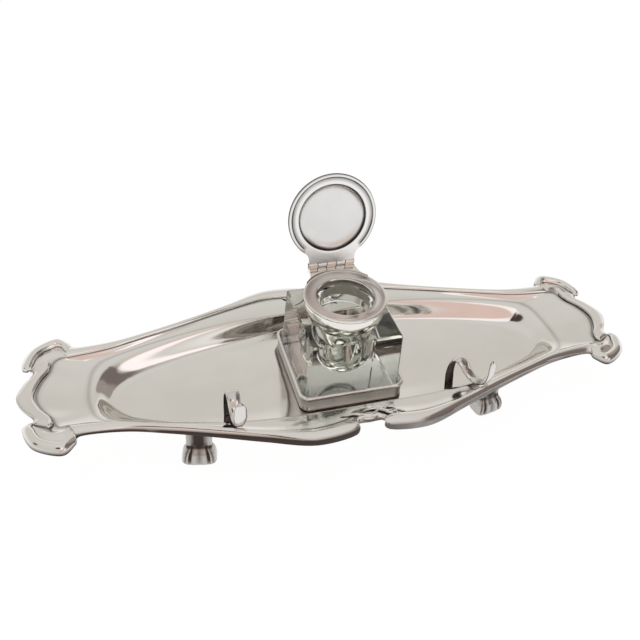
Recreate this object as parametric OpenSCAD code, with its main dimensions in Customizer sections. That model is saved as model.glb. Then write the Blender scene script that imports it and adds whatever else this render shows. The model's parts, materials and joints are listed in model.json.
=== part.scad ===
// Desk inkstand: a long boat-shaped silver tray on four shell feet, with a scrolled
// border, two pen rests and a square glass inkwell in a gallery, under a hinged lid.
// The tray lies along X, the front is at -Y, and z = 0 is the table.

/* [Tray plan] */
// Length of the tray over the bulged ends
tray_length = 312; // [302:1:326]
// Width of the tray at its middle, over the rolled border
tray_width = 111; // [108:0.5:118]
// Width over the corner scrolls at each end
end_width = 74.6; // [72:0.5:80]
// Length of the scrolled end group, from the end of the tray to where the border joins it
scroll_length = 28; // [26:0.5:31]
// Length of the well at its upper edge
well_length = 248; // [240:1:254]
// Width of the well at its upper edge
well_width = 73; // [70:0.5:74.5]
// Length of the flat floor
floor_length = 225; // [214:1:230]
// Width of the flat floor
floor_width = 70.6; // [66:0.2:71]

/* [Tray heights] */
// Height of the feet, from the table to the underside of the floor
foot_height = 17.3; // [14:0.1:22]
// Thickness of the silver sheet
sheet = 1.2; // [0.8:0.1:1.6]
// Depth of the well at its middle
well_depth = 10; // [8:0.5:13]
// Rise of the flange from the well's edge to the border
flange_rise = 2.5; // [1.5:0.1:4]
// How far the edge of the well falls towards its two tips
tip_fall = 4.5; // [2:0.1:6]

/* [Border] */
// Height of the rolled border above the flange
border_rise = 1.5; // [0.8:0.1:2.4]
// How far the border turns down outside the edge of the sheet
border_drop = 3.2; // [1.5:0.1:5]
// Wall of the turned-down lip
border_wall = 1; // [0.7:0.1:1.4]
// Height of the ribbon moulding at each end
ribbon_rise = 1.9; // [1:0.1:2.8]
// Height of the crescent scrolls above the sheet
scroll_rise = 2; // [1.2:0.1:3]
// How far the crescent scrolls turn down outside the sheet
scroll_drop = 2.4; // [1:0.1:5]
// Height of the small lip in the middle notch
notch_lip_rise = 1.1; // [0.6:0.1:1.8]
// How far the lip in the notch turns down outside the sheet
notch_lip_drop = 1.6; // [0.8:0.1:3]
// Rise of the embossed tongue between ribbon and scroll
tongue_rise = 1.7; // [0.8:0.1:2.4]
// Solder line left between two soldered pieces
solder_gap = 0.15; // [0.1:0.01:0.25]

/* [Feet] */
// Width of the shell toe
foot_width = 17; // [13:0.5:20]
// Width of the bracket above the toe
bracket_width = 12.4; // [10:0.2:13]
// Reach of the toe outwards from the middle of the foot
toe_reach = 6.5; // [5:0.1:8]
// Ease of the bracket's top under the tray
foot_ease = 0.5; // [0.3:0.05:0.8]
// Place of the feet along the rim, counted in stations of the outline
foot_station = 5.37; // [5:0.01:5.6]
// Place of the feet under the wall of the well, as a share from the floor to the flange
foot_seat = 0.42; // [0.2:0.01:0.6]

/* [Pen rests] */
// Width of the strap
rest_width = 7; // [5:0.5:9]
// Width of the upright leaf in front of the cradle
leaf_width = 6.2; // [4:0.1:7]
// Thickness of the strap
rest_sheet = 1.2; // [0.9:0.1:1.6]
// Height of the arch behind the cradle, above the flange
rest_arch = 7.2; // [5:0.2:10]
// Height of the front leaf above the flange
rest_front = 18; // [14:0.5:20]
// Distance from the cradle back to the leg on the floor
rest_leg_reach = 18; // [16:0.5:20]
// Place of the left rest along the rim, counted in stations of the outline
left_rest_station = 4.5; // [4.3:0.01:4.6]
// Place of the right rest along the rim
right_rest_station = 4.63; // [4.5:0.01:4.8]
// Place of the cradle across the flange, as a share from the well to the border
rest_seat = 0.66; // [0.5:0.01:0.68]
// Turn of the left rest from straight across
left_rest_turn = 0; // [-5:1:12]
// Turn of the right rest from straight across
right_rest_turn = 28; // [10:1:32]

/* [Inkwell glass] */
// Side of the glass block at its foot
glass_side = 47.4; // [44:0.2:50]
// Side of the glass block at the top of its taper
glass_top_side = 46; // [42:0.2:48]
// Height of the glass block without its neck
glass_height = 37.9; // [35:0.5:44]
// Height of the straight part at the foot of the block
glass_straight = 9.5; // [6:0.5:14]
// Bevel along the upright corners
glass_corner = 0.9; // [0.5:0.1:3]
// Bevel around the top
glass_bevel = 0.9; // [0.5:0.1:3]
// Radius of the ink hollow
hollow_radius = 14.8; // [13:0.2:16]
// Glass left under the ink hollow
glass_base = 6.5; // [5:0.5:9]
// Radius of the glass neck
neck_radius = 14.3; // [13.6:0.1:14.6]
// Height of the glass neck
neck_height = 6.6; // [5:0.1:7.5]
// Radius of the bore in the neck
bore_radius = 12.2; // [10:0.1:12.6]
// Clearance between the glass and the gallery
glass_clearance = 1.7; // [0.4:0.1:2]
// Clearance between the glass and the floor it stands on
glass_seat = 0.1; // [0.05:0.01:0.2]

/* [Gallery] */
// Height of the gallery band around the foot of the glass
gallery_height = 9; // [6:0.5:12]
// Thickness of the gallery band
gallery_band = 0.9; // [0.7:0.1:1.2]
// How far the bead along the gallery's top stands out
gallery_bead = 0.9; // [0.4:0.1:1.2]
// Outer radius of the gallery's corners
gallery_corner = 4.5; // [2.5:0.1:4.5]

/* [Collar] */
// Radius of the collar's ring
collar_radius = 20.4; // [19:0.1:21]
// Height of the collar above the glass block
collar_height = 10.6; // [9.5:0.1:13]
// Radius of the opening in the collar's ring
ring_bore = 13.9; // [13:0.1:14.2]
// Wall of the collar
collar_wall = 1; // [0.8:0.1:1.2]
// Half width of the hinge's leaf where it leaves the collar, as a share of its radius
leaf_share = 0.78; // [0.66:0.01:0.85]
// Length over which the leaf flares
leaf_flare = 8.6; // [5:0.2:10]
// Plaster between the neck and the collar
plaster = 3; // [2:0.1:3.4]

/* [Lid] */
// Radius of the lid
lid_radius = 22.3; // [21.6:0.1:22.5]
// Radius of the domed window in the lid
dome_radius = 16.9; // [14:0.1:18]
// Rise of the dome above the lid's ring
dome_rise = 5.5; // [3:0.1:8]
// Half width of the lid's neck where it leaves the ring, as a share of the lid's radius
lid_neck = 0.66; // [0.58:0.01:0.75]
// Length over which the lid's neck flares
lid_flare = 4.2; // [3:0.2:6]
// Thickness of the lid's flat ring
lid_ring = 1.3; // [1:0.1:1.6]
// Thickness of the lid's sheet
lid_sheet = 0.8; // [0.6:0.1:1]
// Gap between the closed lid and the collar
lid_gap = 0.3; // [0.2:0.05:0.5]
// Angle at which the open lid rests
open_angle = 102; // [90:1:108]

/* [Hinge] */
// Distance of the hinge axis behind the middle of the inkwell
hinge_back = 24.2; // [24:0.1:25]
// Height of the hinge axis above the collar
hinge_up = 1.8; // [1.5:0.1:2.2]
// Outer radius of the knuckles
knuckle_radius = 1.2; // [1.1:0.05:1.4]
// Length of one knuckle
knuckle_length = 4.6; // [3.6:0.1:4.8]
// Gap between two knuckles
knuckle_gap = 0.2; // [0.15:0.01:0.3]
// Radius of the hinge pin
pin_radius = 0.5; // [0.4:0.05:0.65]
// Running clearance of the pin in its knuckles
pin_clearance = 0.05; // [0.02:0.01:0.08]

/* [Hidden] */
$fn = 96;

// Heights that the pieces share
floor_z = foot_height + sheet;
well_z = floor_z + well_depth;
rim_z = well_z + flange_rise;
glass_z = floor_z + glass_seat;
shoulder_z = glass_z + glass_height;
collar_z = shoulder_z + collar_height;
hinge_z = collar_z + hinge_up;

// Shapes of the four long curves of the tray, for one quarter from the middle of a long
// side to the end. Along the side each row is [share of half length, share of half width,
// height]. Around the scrolled end each row is [distance from the end as a share of the
// scroll group, share of half the end width, height].
edge_side = [
    [0, 0.862, 0], [0.037, 0.867, 0], [0.055, 0.955, 0], [0.179, 0.979, -0.4],
    [0.321, 0.843, -1], [0.455, 0.716, -0.9], [0.59, 0.6, -0.7], [0.705, 0.528, -0.3]
];
edge_end = [
    [0.979, 0.756, 0], [0.875, 0.858, 0], [0.679, 0.973, 0], [0.345, 0.858, -0.2],
    [0.193, 0.708, -0.5], [0.139, 0.52, -0.7], [0.286, 0.413, -0.9],
    [0.104, 0.214, -1.3], [0, 0, -1.5]
];
crease_side = [
    [0, 0.776, 0], [0.038, 0.787, 0], [0.068, 0.836, 0], [0.179, 0.868, -0.4],
    [0.321, 0.782, -1], [0.455, 0.665, -0.7], [0.59, 0.555, -0.5], [0.718, 0.449, -0.1]
];
crease_end = [
    [0.893, 0.606, 0], [0.793, 0.614, 0], [0.7, 0.603, -0.1], [0.632, 0.579, -0.4],
    [0.596, 0.544, -0.6], [0.575, 0.499, -0.8], [0.529, 0.394, -1],
    [0.379, 0.228, -1.2], [0.282, 0, -1.5]
];
// Rows of the well and floor are [share of half length, share of half width, share of fall]
well_edge = [
    [0, 1, 0], [0.06, 1, 0], [0.113, 1, 0], [0.226, 0.997, 0], [0.387, 0.981, 0],
    [0.565, 0.899, 0], [0.726, 0.784, 0.04], [0.858, 0.66, 0.1], [0.928, 0.58, 0.2],
    [0.945, 0.545, 0.28], [0.959, 0.505, 0.37], [0.971, 0.457, 0.47], [0.98, 0.402, 0.58],
    [0.987, 0.34, 0.69], [0.992, 0.263, 0.8], [0.998, 0.14, 0.94], [1, 0, 1]
];
floor_edge = [
    [0, 1, 0], [0.053, 1, 0], [0.107, 0.998, 0], [0.213, 0.989, 0], [0.391, 0.873, 0],
    [0.56, 0.731, 0], [0.729, 0.572, 0], [0.86, 0.42, 0], [0.912, 0.325, 0],
    [0.927, 0.286, 0], [0.941, 0.247, 0], [0.954, 0.206, 0], [0.966, 0.166, 0],
    [0.977, 0.13, 0], [0.986, 0.098, 0], [0.995, 0.055, 0], [1, 0, 0]
];
// Last station of a quarter, and the stations at which the sheet is drawn
quarter = 16;
marks = [
    0, 0.5, 1, 1.3, 1.6, 2, 2.5, 3, 3.33, 3.67, 4, 4.33, 4.67, 5, 5.5, 6, 6.5, 7, 7.5, 8,
    8.45, 8.55, 9, 9.5, 10, 10.5, 11, 11.5, 11.9, 12.5, 13, 13.4, 14, 14.5, 15, 15.5, 16
];

// Small functions for points, lists and smooth steps
function mix(a, b, f) = a + (b - a) * f;
function flat(v) = [v.x, v.y, 0];
function unit(v) = v / norm(v);
function bump(x) = abs(x) >= 1 ? 0 : pow(1 - x * x, 2);
function ease(x) = let (f = min(1, max(0, x))) f * f * (3 - 2 * f);
function ramp(x, from, to) = ease((x - from) / (to - from));

// Smooth closed curve through the points p, at station t
function on_curve(p, t) =
    let (
        n = len(p), i = floor(t), f = t - i,
        a = p[(i - 1 + n) % n], b = p[(i + n) % n],
        c = p[(i + 1 + n) % n], d = p[(i + 2 + n) % n]
    )
    0.5 * (2 * b + (c - a) * f + (2 * a - 5 * b + 4 * c - d) * f * f
        + (3 * b - a - 3 * c + d) * f * f * f);

// The whole closed outline from its first quarter
function all_round(q) = concat(
    q,
    [for (i = [quarter - 1 : -1 : 0]) [q[i].x, -q[i].y, q[i].z]],
    [for (i = [1 : quarter]) [-q[i].x, -q[i].y, q[i].z]],
    [for (i = [quarter - 1 : -1 : 1]) [-q[i].x, q[i].y, q[i].z]]
);
function rim_curve(side, end) = all_round(concat(
    [for (p = side) [p.x * tray_length / 2, p.y * tray_width / 2, rim_z + p.z]],
    [for (p = end) [tray_length / 2 - p.x * scroll_length, p.y * end_width / 2, rim_z + p.z]]
));
function pan_curve(rows, length, width, z, fall) = all_round(
    [for (p = rows) [p.x * length / 2, p.y * width / 2, z - fall * p.z]]
);
edge_line = rim_curve(edge_side, edge_end);
crease_line = rim_curve(crease_side, crease_end);
well_line = pan_curve(well_edge, well_length, well_width, well_z, tip_fall);
floor_line = pan_curve(floor_edge, floor_length, floor_width, floor_z, 0);

// Station folded back into the first quarter
function folded(t) = let (h = 2 * quarter, m = ((t % h) + h) % h) m > quarter ? h - m : m;

// Embossed tongue, from the flange to a round tip between ribbon and scroll
function tongue(t, f) =
    let (k = folded(t), middle = mix(0.3, 0.46, ramp(k, 9.5, 11.5)))
    tongue_rise * bump((k - 10.7) / 2) * bump((f - middle) / 0.17);

// Point on the upper face of the sheet: s runs 0 to 1 up the wall of the well, 1 to 2
// across the flange and 2 to 3 under the border
wall_roll = 0.85;
flange_sag = 0.5;
function wall_share(f) = f - wall_roll * sin(360 * f) / (2 * PI);
function wall_point(t, f) =
    let (a = on_curve(floor_line, t), b = on_curve(well_line, t), p = mix(a, b, f))
    [p.x, p.y, mix(a.z, b.z, wall_share(f))];
function flange_point(t, f) =
    mix(on_curve(well_line, t), on_curve(crease_line, t), f) - [0, 0, flange_sag * sin(180 * f)];
function strip_point(t, f) =
    mix(on_curve(crease_line, t), on_curve(edge_line, t), f) + [0, 0, tongue(t, f)];
function pan_point(t, s) =
    s <= 1 ? wall_point(t, s) : s <= 2 ? flange_point(t, s - 1) : strip_point(t, s - 2);

// Faces of a skin between closed rings of n points; rings run bottom to top, clockwise
function band_faces(first, second, n) = [
    for (i = [0 : n - 1]) let (j = (i + 1) % n)
        each [[first + i, first + j, second + j], [first + i, second + j, second + i]]
];
// A top that curves from front to back is closed in strips from side to side
function strip_faces(first, n) = concat(
    [[first, first + 1, first + n - 1]],
    [for (i = [1 : n / 2 - 2]) [first + i, first + i + 1, first + n - i - 1, first + n - i]],
    [[first + n / 2 - 1, first + n / 2, first + n / 2 + 1]]
);
module skin(rings, curved_top = false) {
    n = len(rings[0]);
    last = len(rings) - 1;
    polyhedron(
        points = [for (r = rings) each r],
        faces = concat(
            [[for (i = [n - 1 : -1 : 0]) i]],
            [for (k = [0 : last - 1]) each band_faces(k * n, (k + 1) * n, n)],
            curved_top ? strip_faces(last * n, n) : [[for (i = [0 : n - 1]) last * n + i]]
        ),
        convexity = 10
    );
}

// The sheet of the tray: floor, wall, flange and the edge under the border
all_marks = concat(
    marks,
    [for (i = [len(marks) - 2 : -1 : 0]) 2 * quarter - marks[i]],
    [for (i = [1 : len(marks) - 1]) 2 * quarter + marks[i]],
    [for (i = [len(marks) - 2 : -1 : 1]) 4 * quarter - marks[i]]
);
top_levels = [0, 0.12, 0.28, 0.5, 0.72, 0.88, 1, 1.3, 1.7, 2, 2.22, 2.4, 2.58, 2.78, 3];
under_levels = [0, 2, 4, 6, 7, 9, 11, 12, 14];
module tray_pan() {
    n = len(all_marks);
    top = [for (s = top_levels) [for (t = all_marks) pan_point(t, s)]];
    last = len(top) - 1;
    // each point of the underside lies one sheet below the face, square to it
    under = [for (k = under_levels) [for (i = [0 : n - 1])
        let (
            along = top[k][(i + 1) % n] - top[k][(i + n - 1) % n],
            out = top[min(last, k + 1)][i] - top[max(0, k - 1)][i],
            normal = k == 0 ? [0, 0, 1] : unit(cross(along, out))
        )
        top[k][i] - sheet * normal
    ]];
    color("silver") skin(concat(under, [for (k = [last : -1 : 0]) top[k]]));
}

// Section of a moulding that lies on the strip at station t, from share a to share b of
// the strip's width, and turns down outside the edge of the sheet by drop
crown = [0.12, 0.28, 0.45, 0.62, 0.78, 0.91];
function crown_height(u) = pow(sin(180 * pow(u, 0.85)), 0.7);
function rolled_section(t, a, rise, drop) =
    let (
        e = on_curve(edge_line, t),
        out = unit(flat(e - on_curve(crease_line, t))),
        reach = solder_gap + border_wall,
        toe = strip_point(t, a) + [0, 0, solder_gap],
        brow = e + out * reach
    )
    concat(
        [e + out * solder_gap + [0, 0, solder_gap], toe, toe + [0, 0, 0.15]],
        [for (u = crown) mix(toe, brow, u) + [0, 0, 0.15 + rise * crown_height(u)]],
        [
            brow + [0, 0, 0.15 * rise],
            brow - [0, 0, drop],
            e + out * solder_gap - [0, 0, drop]
        ]
    );
// Section of a moulding that only lies on the strip, from share a to share b
function laid_section(t, a, b, rise) =
    let (
        lift = [0, 0, solder_gap],
        inner = strip_point(t, a) + lift,
        outer = strip_point(t, b) + lift
    )
    concat(
        [inner, inner + [0, 0, 0.25 * rise]],
        [for (u = crown) mix(inner, outer, u) + [0, 0, 0.25 * rise + 0.75 * rise * crown_height(u)]],
        [outer + [0, 0, 0.25 * rise], outer]
    );
function marks_between(from, to) = concat(
    [from], [for (m = all_marks) if (m > from + 0.04 && m < to - 0.04) m], [to]
);

// Rolled border of one quarter, from its round lobe at the notch to the scroll
lobe_station = 1.6;
join_station = 8.45;
module border() {
    color("gainsboro") skin([
        for (t = marks_between(lobe_station, join_station))
            let (grown = ramp(t, lobe_station - 0.25, 2.3), thin = ramp(t, 3, join_station))
            rolled_section(
                t, mix(0.7, 0.02, grown), border_rise * mix(0.45, 1, grown),
                border_drop * mix(1, 0.2, thin) * mix(0.6, 1, grown)
            )
    ]);
}

// Crescent scroll at one corner, from the end of the border to its hooked tip
hook_station = 13.4;
module corner_scroll() {
    color("whitesmoke") skin([
        for (t = marks_between(join_station + 0.1, hook_station))
            let (
                body = ramp(t, join_station, 10),
                tip = ramp(t, 12.4, hook_station + 0.15)
            )
            rolled_section(
                t, mix(mix(0.35, 0.66, body), 0.8, tip),
                scroll_rise * mix(0.6, 1, body) * mix(1, 0.45, tip),
                scroll_drop * mix(0.5, 1, body) * mix(1, 0.35, tip)
            )
    ]);
}

// Ribbon moulding across one end, with a round end at each side
ribbon_station = 11.9;
module end_ribbon() {
    color("gainsboro") skin([
        for (t = marks_between(ribbon_station, 2 * quarter - ribbon_station))
            let (
                k = folded(t), body = ramp(k, ribbon_station - 0.15, 12.6),
                spread = ramp(k, 12.2, 14)
            )
            laid_section(
                t, mix(0.12, 0.01, body), mix(0.24, 0.3, body) + 0.69 * spread,
                ribbon_rise * mix(0.5, 1, body)
            )
    ]);
}

// Thin lip in the notch at the middle of a long side
notch_station = 1.3;
module notch_lip() {
    color("gainsboro") skin([
        for (t = concat([-notch_station, -1, -0.5], marks_between(0, notch_station)))
            let (body = ramp(abs(t), notch_station + 0.2, notch_station - 0.7))
            rolled_section(
                t, mix(0.75, 0.45, body), notch_lip_rise * mix(0.4, 1, body),
                notch_lip_drop * mix(0.3, 1, body)
            )
    ]);
}

// Shell foot, drawn with +Y outwards. Each row is [share of height, half width as a share
// of the toe, outward reach as a share of the toe's, inward reach, depth of the grooves]
foot_rows = [
    [0, 0.94, 0.93, 3.6, 0.2], [0.05, 1, 1, 3.8, 0.3], [0.11, 0.97, 0.97, 3.4, 0.8],
    [0.22, 0.95, 0.96, 3.1, 1], [0.34, 0.88, 0.82, 2.9, 1], [0.44, 0.79, 0.52, 2.7, 0.7],
    [0.5, 0.74, 0.34, 2.6, 0.2], [0.75, 0.72, 0.3, 2.6, 0]
];
foot_sides = 32;
foot_squareness = 0.45;
function grooves(u) = 0.5 * bump(u / 0.2) + bump((u - 0.55) / 0.16) + 0.6 * bump((u - 0.81) / 0.1);
function foot_ring(half, outward, inward, depth) = [
    for (i = [0 : foot_sides - 1])
        let (
            a = 90 - 360 * i / foot_sides, c = cos(a), s = sin(a), u = pow(abs(c), foot_squareness),
            reach = s > 0 ? outward - depth * grooves(u) : inward
        )
        [half * sign(c) * u, reach * sign(s) * pow(abs(s), foot_squareness)]
];
module foot() {
    low = on_curve(floor_line, foot_station);
    high = on_curve(well_line, foot_station);
    along = on_curve(well_line, foot_station + 0.1) - on_curve(well_line, foot_station - 0.1);
    out = unit([-along.y, along.x, 0]);
    run = (high - low) * out;
    middle = high - out * run * (1 - foot_seat);
    // the underside of the curved wall, at y from the middle of the foot
    function underside(y) =
        let (f = min(1, max(0, foot_seat + y / run)), steep = 1 - wall_roll * cos(360 * f))
        floor_z + well_depth * wall_share(f)
            - sheet * sqrt(1 + pow(well_depth / run * steep, 2)) - foot_ease;
    neck = foot_rows[len(foot_rows) - 1];
    translate([middle.x, middle.y, 0])
        rotate(-atan2(out.x, out.y))
            color("silver") skin(concat(
                [for (r = foot_rows)
                    let (
                        above = ramp(r[0], 0.34, 0.5),
                        half = mix(r[1] * foot_width / 2, bracket_width / 2, above)
                    )
                    [for (p = foot_ring(half, r[2] * toe_reach, r[3], r[4]))
                        [p.x, p.y, r[0] * foot_height]]],
                [[for (p = foot_ring(bracket_width / 2, neck[2] * toe_reach, neck[3], 0))
                    [p.x, p.y, underside(p.y)]]]
            ), curved_top = true);
}

// Pen rest, drawn with +X outwards from the middle of its cradle. The strap stands on
// the floor of the well, arches over, dips to the flange and ends in an upright leaf.
function open_curve(p, f) =
    let (
        n = len(p), i = min(n - 2, floor(f)), u = f - i,
        b = p[i], c = p[i + 1],
        a = i > 0 ? p[i - 1] : 2 * b - c,
        d = i < n - 2 ? p[i + 2] : 2 * c - b
    )
    0.5 * (2 * b + (c - a) * u + (2 * a - 5 * b + 4 * c - d) * u * u
        + (3 * b - a - 3 * c + d) * u * u * u);
module strap(path, steps) {
    n = (len(path) - 1) * steps;
    line = [for (i = [0 : n]) open_curve(path, i / steps)];
    side = [for (i = [0 : n])
        let (v = line[min(n, i + 1)] - line[max(0, i - 1)])
        [-v.y, v.x] / norm(v) * rest_sheet / 2];
    polygon(concat(
        [for (i = [0 : n]) line[i] + side[i]],
        [for (i = [n : -1 : 0]) line[i] - side[i]]
    ));
}
// Outline with round upper corners, seen along the strap
module rounded_top(width, top, radius) {
    rotate([90, 0, 90])
        linear_extrude(4 * rest_leg_reach, center = true) {
            translate([-width / 2, -2 * foot_height]) square([width, 2 * foot_height + top - radius]);
            translate([radius - width / 2, 0]) square([width - 2 * radius, top]);
            for (x = [-1, 1])
                translate([x * (width / 2 - radius), top - radius]) circle(radius);
        }
}
module pen_rest(station, turn) {
    base = flange_point(station, rest_seat);
    drop = base.z - floor_z;
    across = on_curve(crease_line, station) - on_curve(well_line, station);
    slope = across.z / norm(flat(across));
    skew = abs(sin(atan2(across.x, across.y) - turn)) * rest_width / 2;
    // height of the strap's middle line where the cradle lies on the flange
    low = solder_gap + rest_sheet / 2 + slope * skew;
    leg = rest_leg_reach;
    path = [
        [-leg, solder_gap - drop], [-leg - 0.8, -0.4 * drop], [-leg - 0.2, 0.4 * rest_arch],
        [-leg + 2.4, 0.96 * rest_arch], [-leg + 6, 0.83 * rest_arch], [-9, 0.44 * rest_arch],
        [-5.5, low + 0.3], [-2, low], [0.3, low + 1.1], [2.2, 0.25 * rest_front],
        [3.4, 0.5 * rest_front], [3.2, 0.8 * rest_front], [2.2, rest_front]
    ];
    translate([base.x, base.y, base.z])
        rotate(90 - turn)
            color("silver")
                intersection() {
                    rotate([90, 0, 0])
                        translate([0, 0, -rest_width / 2])
                            linear_extrude(rest_width) strap(path, 3);
                    union() {
                        rounded_top(rest_width, rest_arch + rest_sheet, 0.36 * rest_width);
                        rounded_top(leaf_width, rest_front, leaf_width / 2 - 0.1);
                    }
                }
}

// Square with round corners, and the gallery band that holds the foot of the glass
module round_square(side, radius) {
    square([side, side - 2 * radius], center = true);
    square([side - 2 * radius, side], center = true);
    for (x = [-1, 1], y = [-1, 1])
        translate([x, y] * (side / 2 - radius)) circle(radius);
}
module gallery() {
    inner = glass_side + 2 * glass_clearance;
    outer = inner + 2 * gallery_band;
    color("gainsboro")
        translate([0, 0, floor_z + solder_gap])
            difference() {
                union() {
                    linear_extrude(gallery_height) round_square(outer, gallery_corner);
                    translate([0, 0, gallery_height - 2 * gallery_bead])
                        linear_extrude(2 * gallery_bead - 0.3)
                            round_square(outer + 2 * gallery_bead, gallery_corner + gallery_bead);
                }
                translate([0, 0, -1])
                    linear_extrude(gallery_height + 2)
                        round_square(inner, gallery_corner - gallery_band);
            }
}

// Square glass block with bevelled edges, a round neck and a round-bottomed ink hollow
shoulder_glass = 2;
function bevelled_ring(side, corner, z) =
    let (h = side / 2, c = h - corner)
    [[c, h, z], [h, c, z], [h, -c, z], [c, -h, z], [-c, -h, z], [-h, -c, z], [-h, c, z], [-c, h, z]];
module glass_block() {
    skin([
        bevelled_ring(glass_side - 1.6, glass_corner, 0),
        bevelled_ring(glass_side, glass_corner, 0.8),
        bevelled_ring(glass_side, glass_corner, glass_straight),
        bevelled_ring(glass_top_side, glass_corner, glass_height - glass_bevel),
        bevelled_ring(glass_top_side - 2 * glass_bevel, glass_corner, glass_height)
    ]);
}
module glass_bottle() {
    shoulder = hollow_radius - bore_radius;
    middle = glass_base + hollow_radius;
    top = glass_height - shoulder_glass;
    color("lightcyan", 0.5)
        translate([0, 0, glass_z])
            difference() {
                union() {
                    glass_block();
                    translate([0, 0, glass_height - 1])
                        cylinder(r = neck_radius, h = neck_height + 1);
                }
                // the hollow: a round bottom, a straight wall and a shoulder up to the neck
                rotate_extrude() {
                    intersection() {
                        translate([0, middle]) circle(hollow_radius);
                        translate([0, glass_base]) square([hollow_radius, hollow_radius]);
                    }
                    polygon([
                        [0, middle - 0.1], [hollow_radius, middle - 0.1],
                        [hollow_radius, top - shoulder], [bore_radius, top],
                        [bore_radius, glass_height + neck_height + 1],
                        [0, glass_height + neck_height + 1]
                    ]);
                }
            }
}

// Plaster that sets the collar on the neck
module plaster_ring() {
    color("ivory")
        translate([0, 0, shoulder_z + 0.6])
            difference() {
                cylinder(r = neck_radius + plaster, h = neck_height - 1.2);
                translate([0, 0, -1])
                    cylinder(r = neck_radius + 0.05, h = neck_height + 2);
            }
}

// Silver collar: a bowl-shaped skirt around the plaster, under a dished ring round the mouth
collar_swell = 1.2;
ring_edge = 1.5;
module collar() {
    skirt = neck_radius + plaster + 0.05;
    foot = skirt + collar_wall;
    side = collar_height - ring_edge - 0.6;
    top = collar_height;
    color("silver")
        translate([0, 0, shoulder_z])
            rotate_extrude()
                polygon(concat(
                    [[ring_bore, top - 1.9], [skirt, top - 1.9], [skirt, 0.2]],
                    [for (i = [0 : 8])
                        [foot + collar_swell * sin(i * 20), 0.2 + (side - 0.2) * i / 8]],
                    [
                        [collar_radius - 0.3, top - ring_edge], [collar_radius, top - ring_edge + 0.4],
                        [collar_radius, top - 0.5], [collar_radius - 0.5, top],
                        [collar_radius - 1.3, top], [collar_radius - 2.2, top - 0.4],
                        [ring_bore + 1.4, top - 0.8], [ring_bore + 0.4, top - 0.8],
                        [ring_bore, top - 1.1]
                    ]
                ));
}

// Knuckles number 0 to 4 along the hinge; the collar has the even ones
knuckles = 5;
hinge_length = knuckles * knuckle_length + (knuckles - 1) * knuckle_gap;
function knuckle_x(i) = -hinge_length / 2 + i * (knuckle_length + knuckle_gap);
module knuckle(i) {
    translate([knuckle_x(i), 0, 0])
        rotate([0, 90, 0])
            difference() {
                cylinder(r = knuckle_radius, h = knuckle_length);
                translate([0, 0, -1])
                    cylinder(r = pin_radius + pin_clearance, h = knuckle_length + 2);
            }
}
// Plan of a neck from the hinge at y = back to a ring: its sides run straight, then flare
// over the given length to a share of the ring's radius
flare_steps = [[0, 1], [0.1, 0.7], [0.26, 0.42], [0.48, 0.2], [0.74, 0.06], [1, 0]];
module flared_neck(back, radius, share, flare) {
    half = hinge_length / 2;
    wide = radius * share;
    root = sqrt(radius * radius - wide * wide);
    right = [for (f = flare_steps) [mix(half, wide, f[0]), root + flare * f[1]]];
    left = [for (i = [len(right) - 1 : -1 : 0]) [-right[i].x, right[i].y]];
    polygon(concat([[half, back]], right, left, [[-half, back]]));
}
// Leaf on the back of the collar that carries its three knuckles
module collar_hinge() {
    leaf_top = -knuckle_radius - knuckle_gap - 0.3;
    leaf_low = -hinge_up - 2.6;
    color("silver")
        translate([0, hinge_back, hinge_z]) {
            for (i = [0 : 2 : knuckles - 1]) {
                knuckle(i);
                translate([knuckle_x(i), -knuckle_radius * 0.45, leaf_top - 0.3])
                    difference() {
                        cube([knuckle_length, knuckle_radius * 1.1, -leaf_top + 0.3]);
                        translate([-1, knuckle_radius * 0.45, -leaf_top + 0.3])
                            rotate([0, 90, 0])
                                cylinder(r = (knuckle_radius + pin_radius) / 2, h = knuckle_length + 2);
                    }
            }
            // plate that flares from the hinge to the edge of the collar's ring
            translate([0, -hinge_back, leaf_low])
                linear_extrude(leaf_top - leaf_low)
                    difference() {
                        flared_neck(hinge_back + knuckle_radius * 0.65, collar_radius, leaf_share, leaf_flare);
                        circle(collar_radius + 0.05);
                    }
        }
}
module hinge_pin() {
    color("darkgray")
        translate([-hinge_length / 2 - 0.3, hinge_back, hinge_z])
            rotate([0, 90, 0]) cylinder(r = pin_radius, h = hinge_length + 0.6);
}

// The lid is drawn closed, over the collar, and swung open about the hinge
module swung_open() {
    translate([0, hinge_back, hinge_z])
        rotate([-open_angle, 0, 0])
            translate([0, -hinge_back, -hinge_up + lid_gap])
                children();
}
// Flat ring under the dome, with a raised bead round its edge that stops at the neck
lid_face = 0.35;
module lid_bezel() {
    color("silver") swung_open()
        difference() {
            rotate_extrude()
                polygon([
                    [dome_radius, 0.5], [dome_radius + 0.6, lid_face], [lid_radius - 1.9, lid_face],
                    [lid_radius - 1.4, 0], [lid_radius - 0.5, 0], [lid_radius, 0.5],
                    [lid_radius, lid_ring - 0.1], [lid_radius - 0.3, lid_ring],
                    [dome_radius, lid_ring]
                ]);
            translate([0, 0, lid_face - 1])
                linear_extrude(1) flared_neck(hinge_back, lid_radius, lid_neck, lid_flare);
            translate([0, 0, -1])
                linear_extrude(lid_ring + 2)
                    translate([-lid_radius, hinge_back - knuckle_radius - 0.2])
                        square([2 * lid_radius, lid_radius]);
        }
}
// Domed sheet that closes the lid from above
module lid_dome() {
    seat = lid_ring + 0.05;
    half = dome_radius + 0.4;
    globe = (half * half + dome_rise * dome_rise) / (2 * dome_rise);
    color("gainsboro") swung_open()
        translate([0, 0, seat])
            rotate_extrude() difference() {
                union() {
                    square([lid_radius - 0.8, lid_sheet]);
                    intersection() {
                        translate([0, dome_rise - globe]) circle(globe);
                        square([half, dome_rise + 1]);
                    }
                }
                translate([0, dome_rise - globe]) circle(globe - lid_sheet);
            }
}
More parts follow.
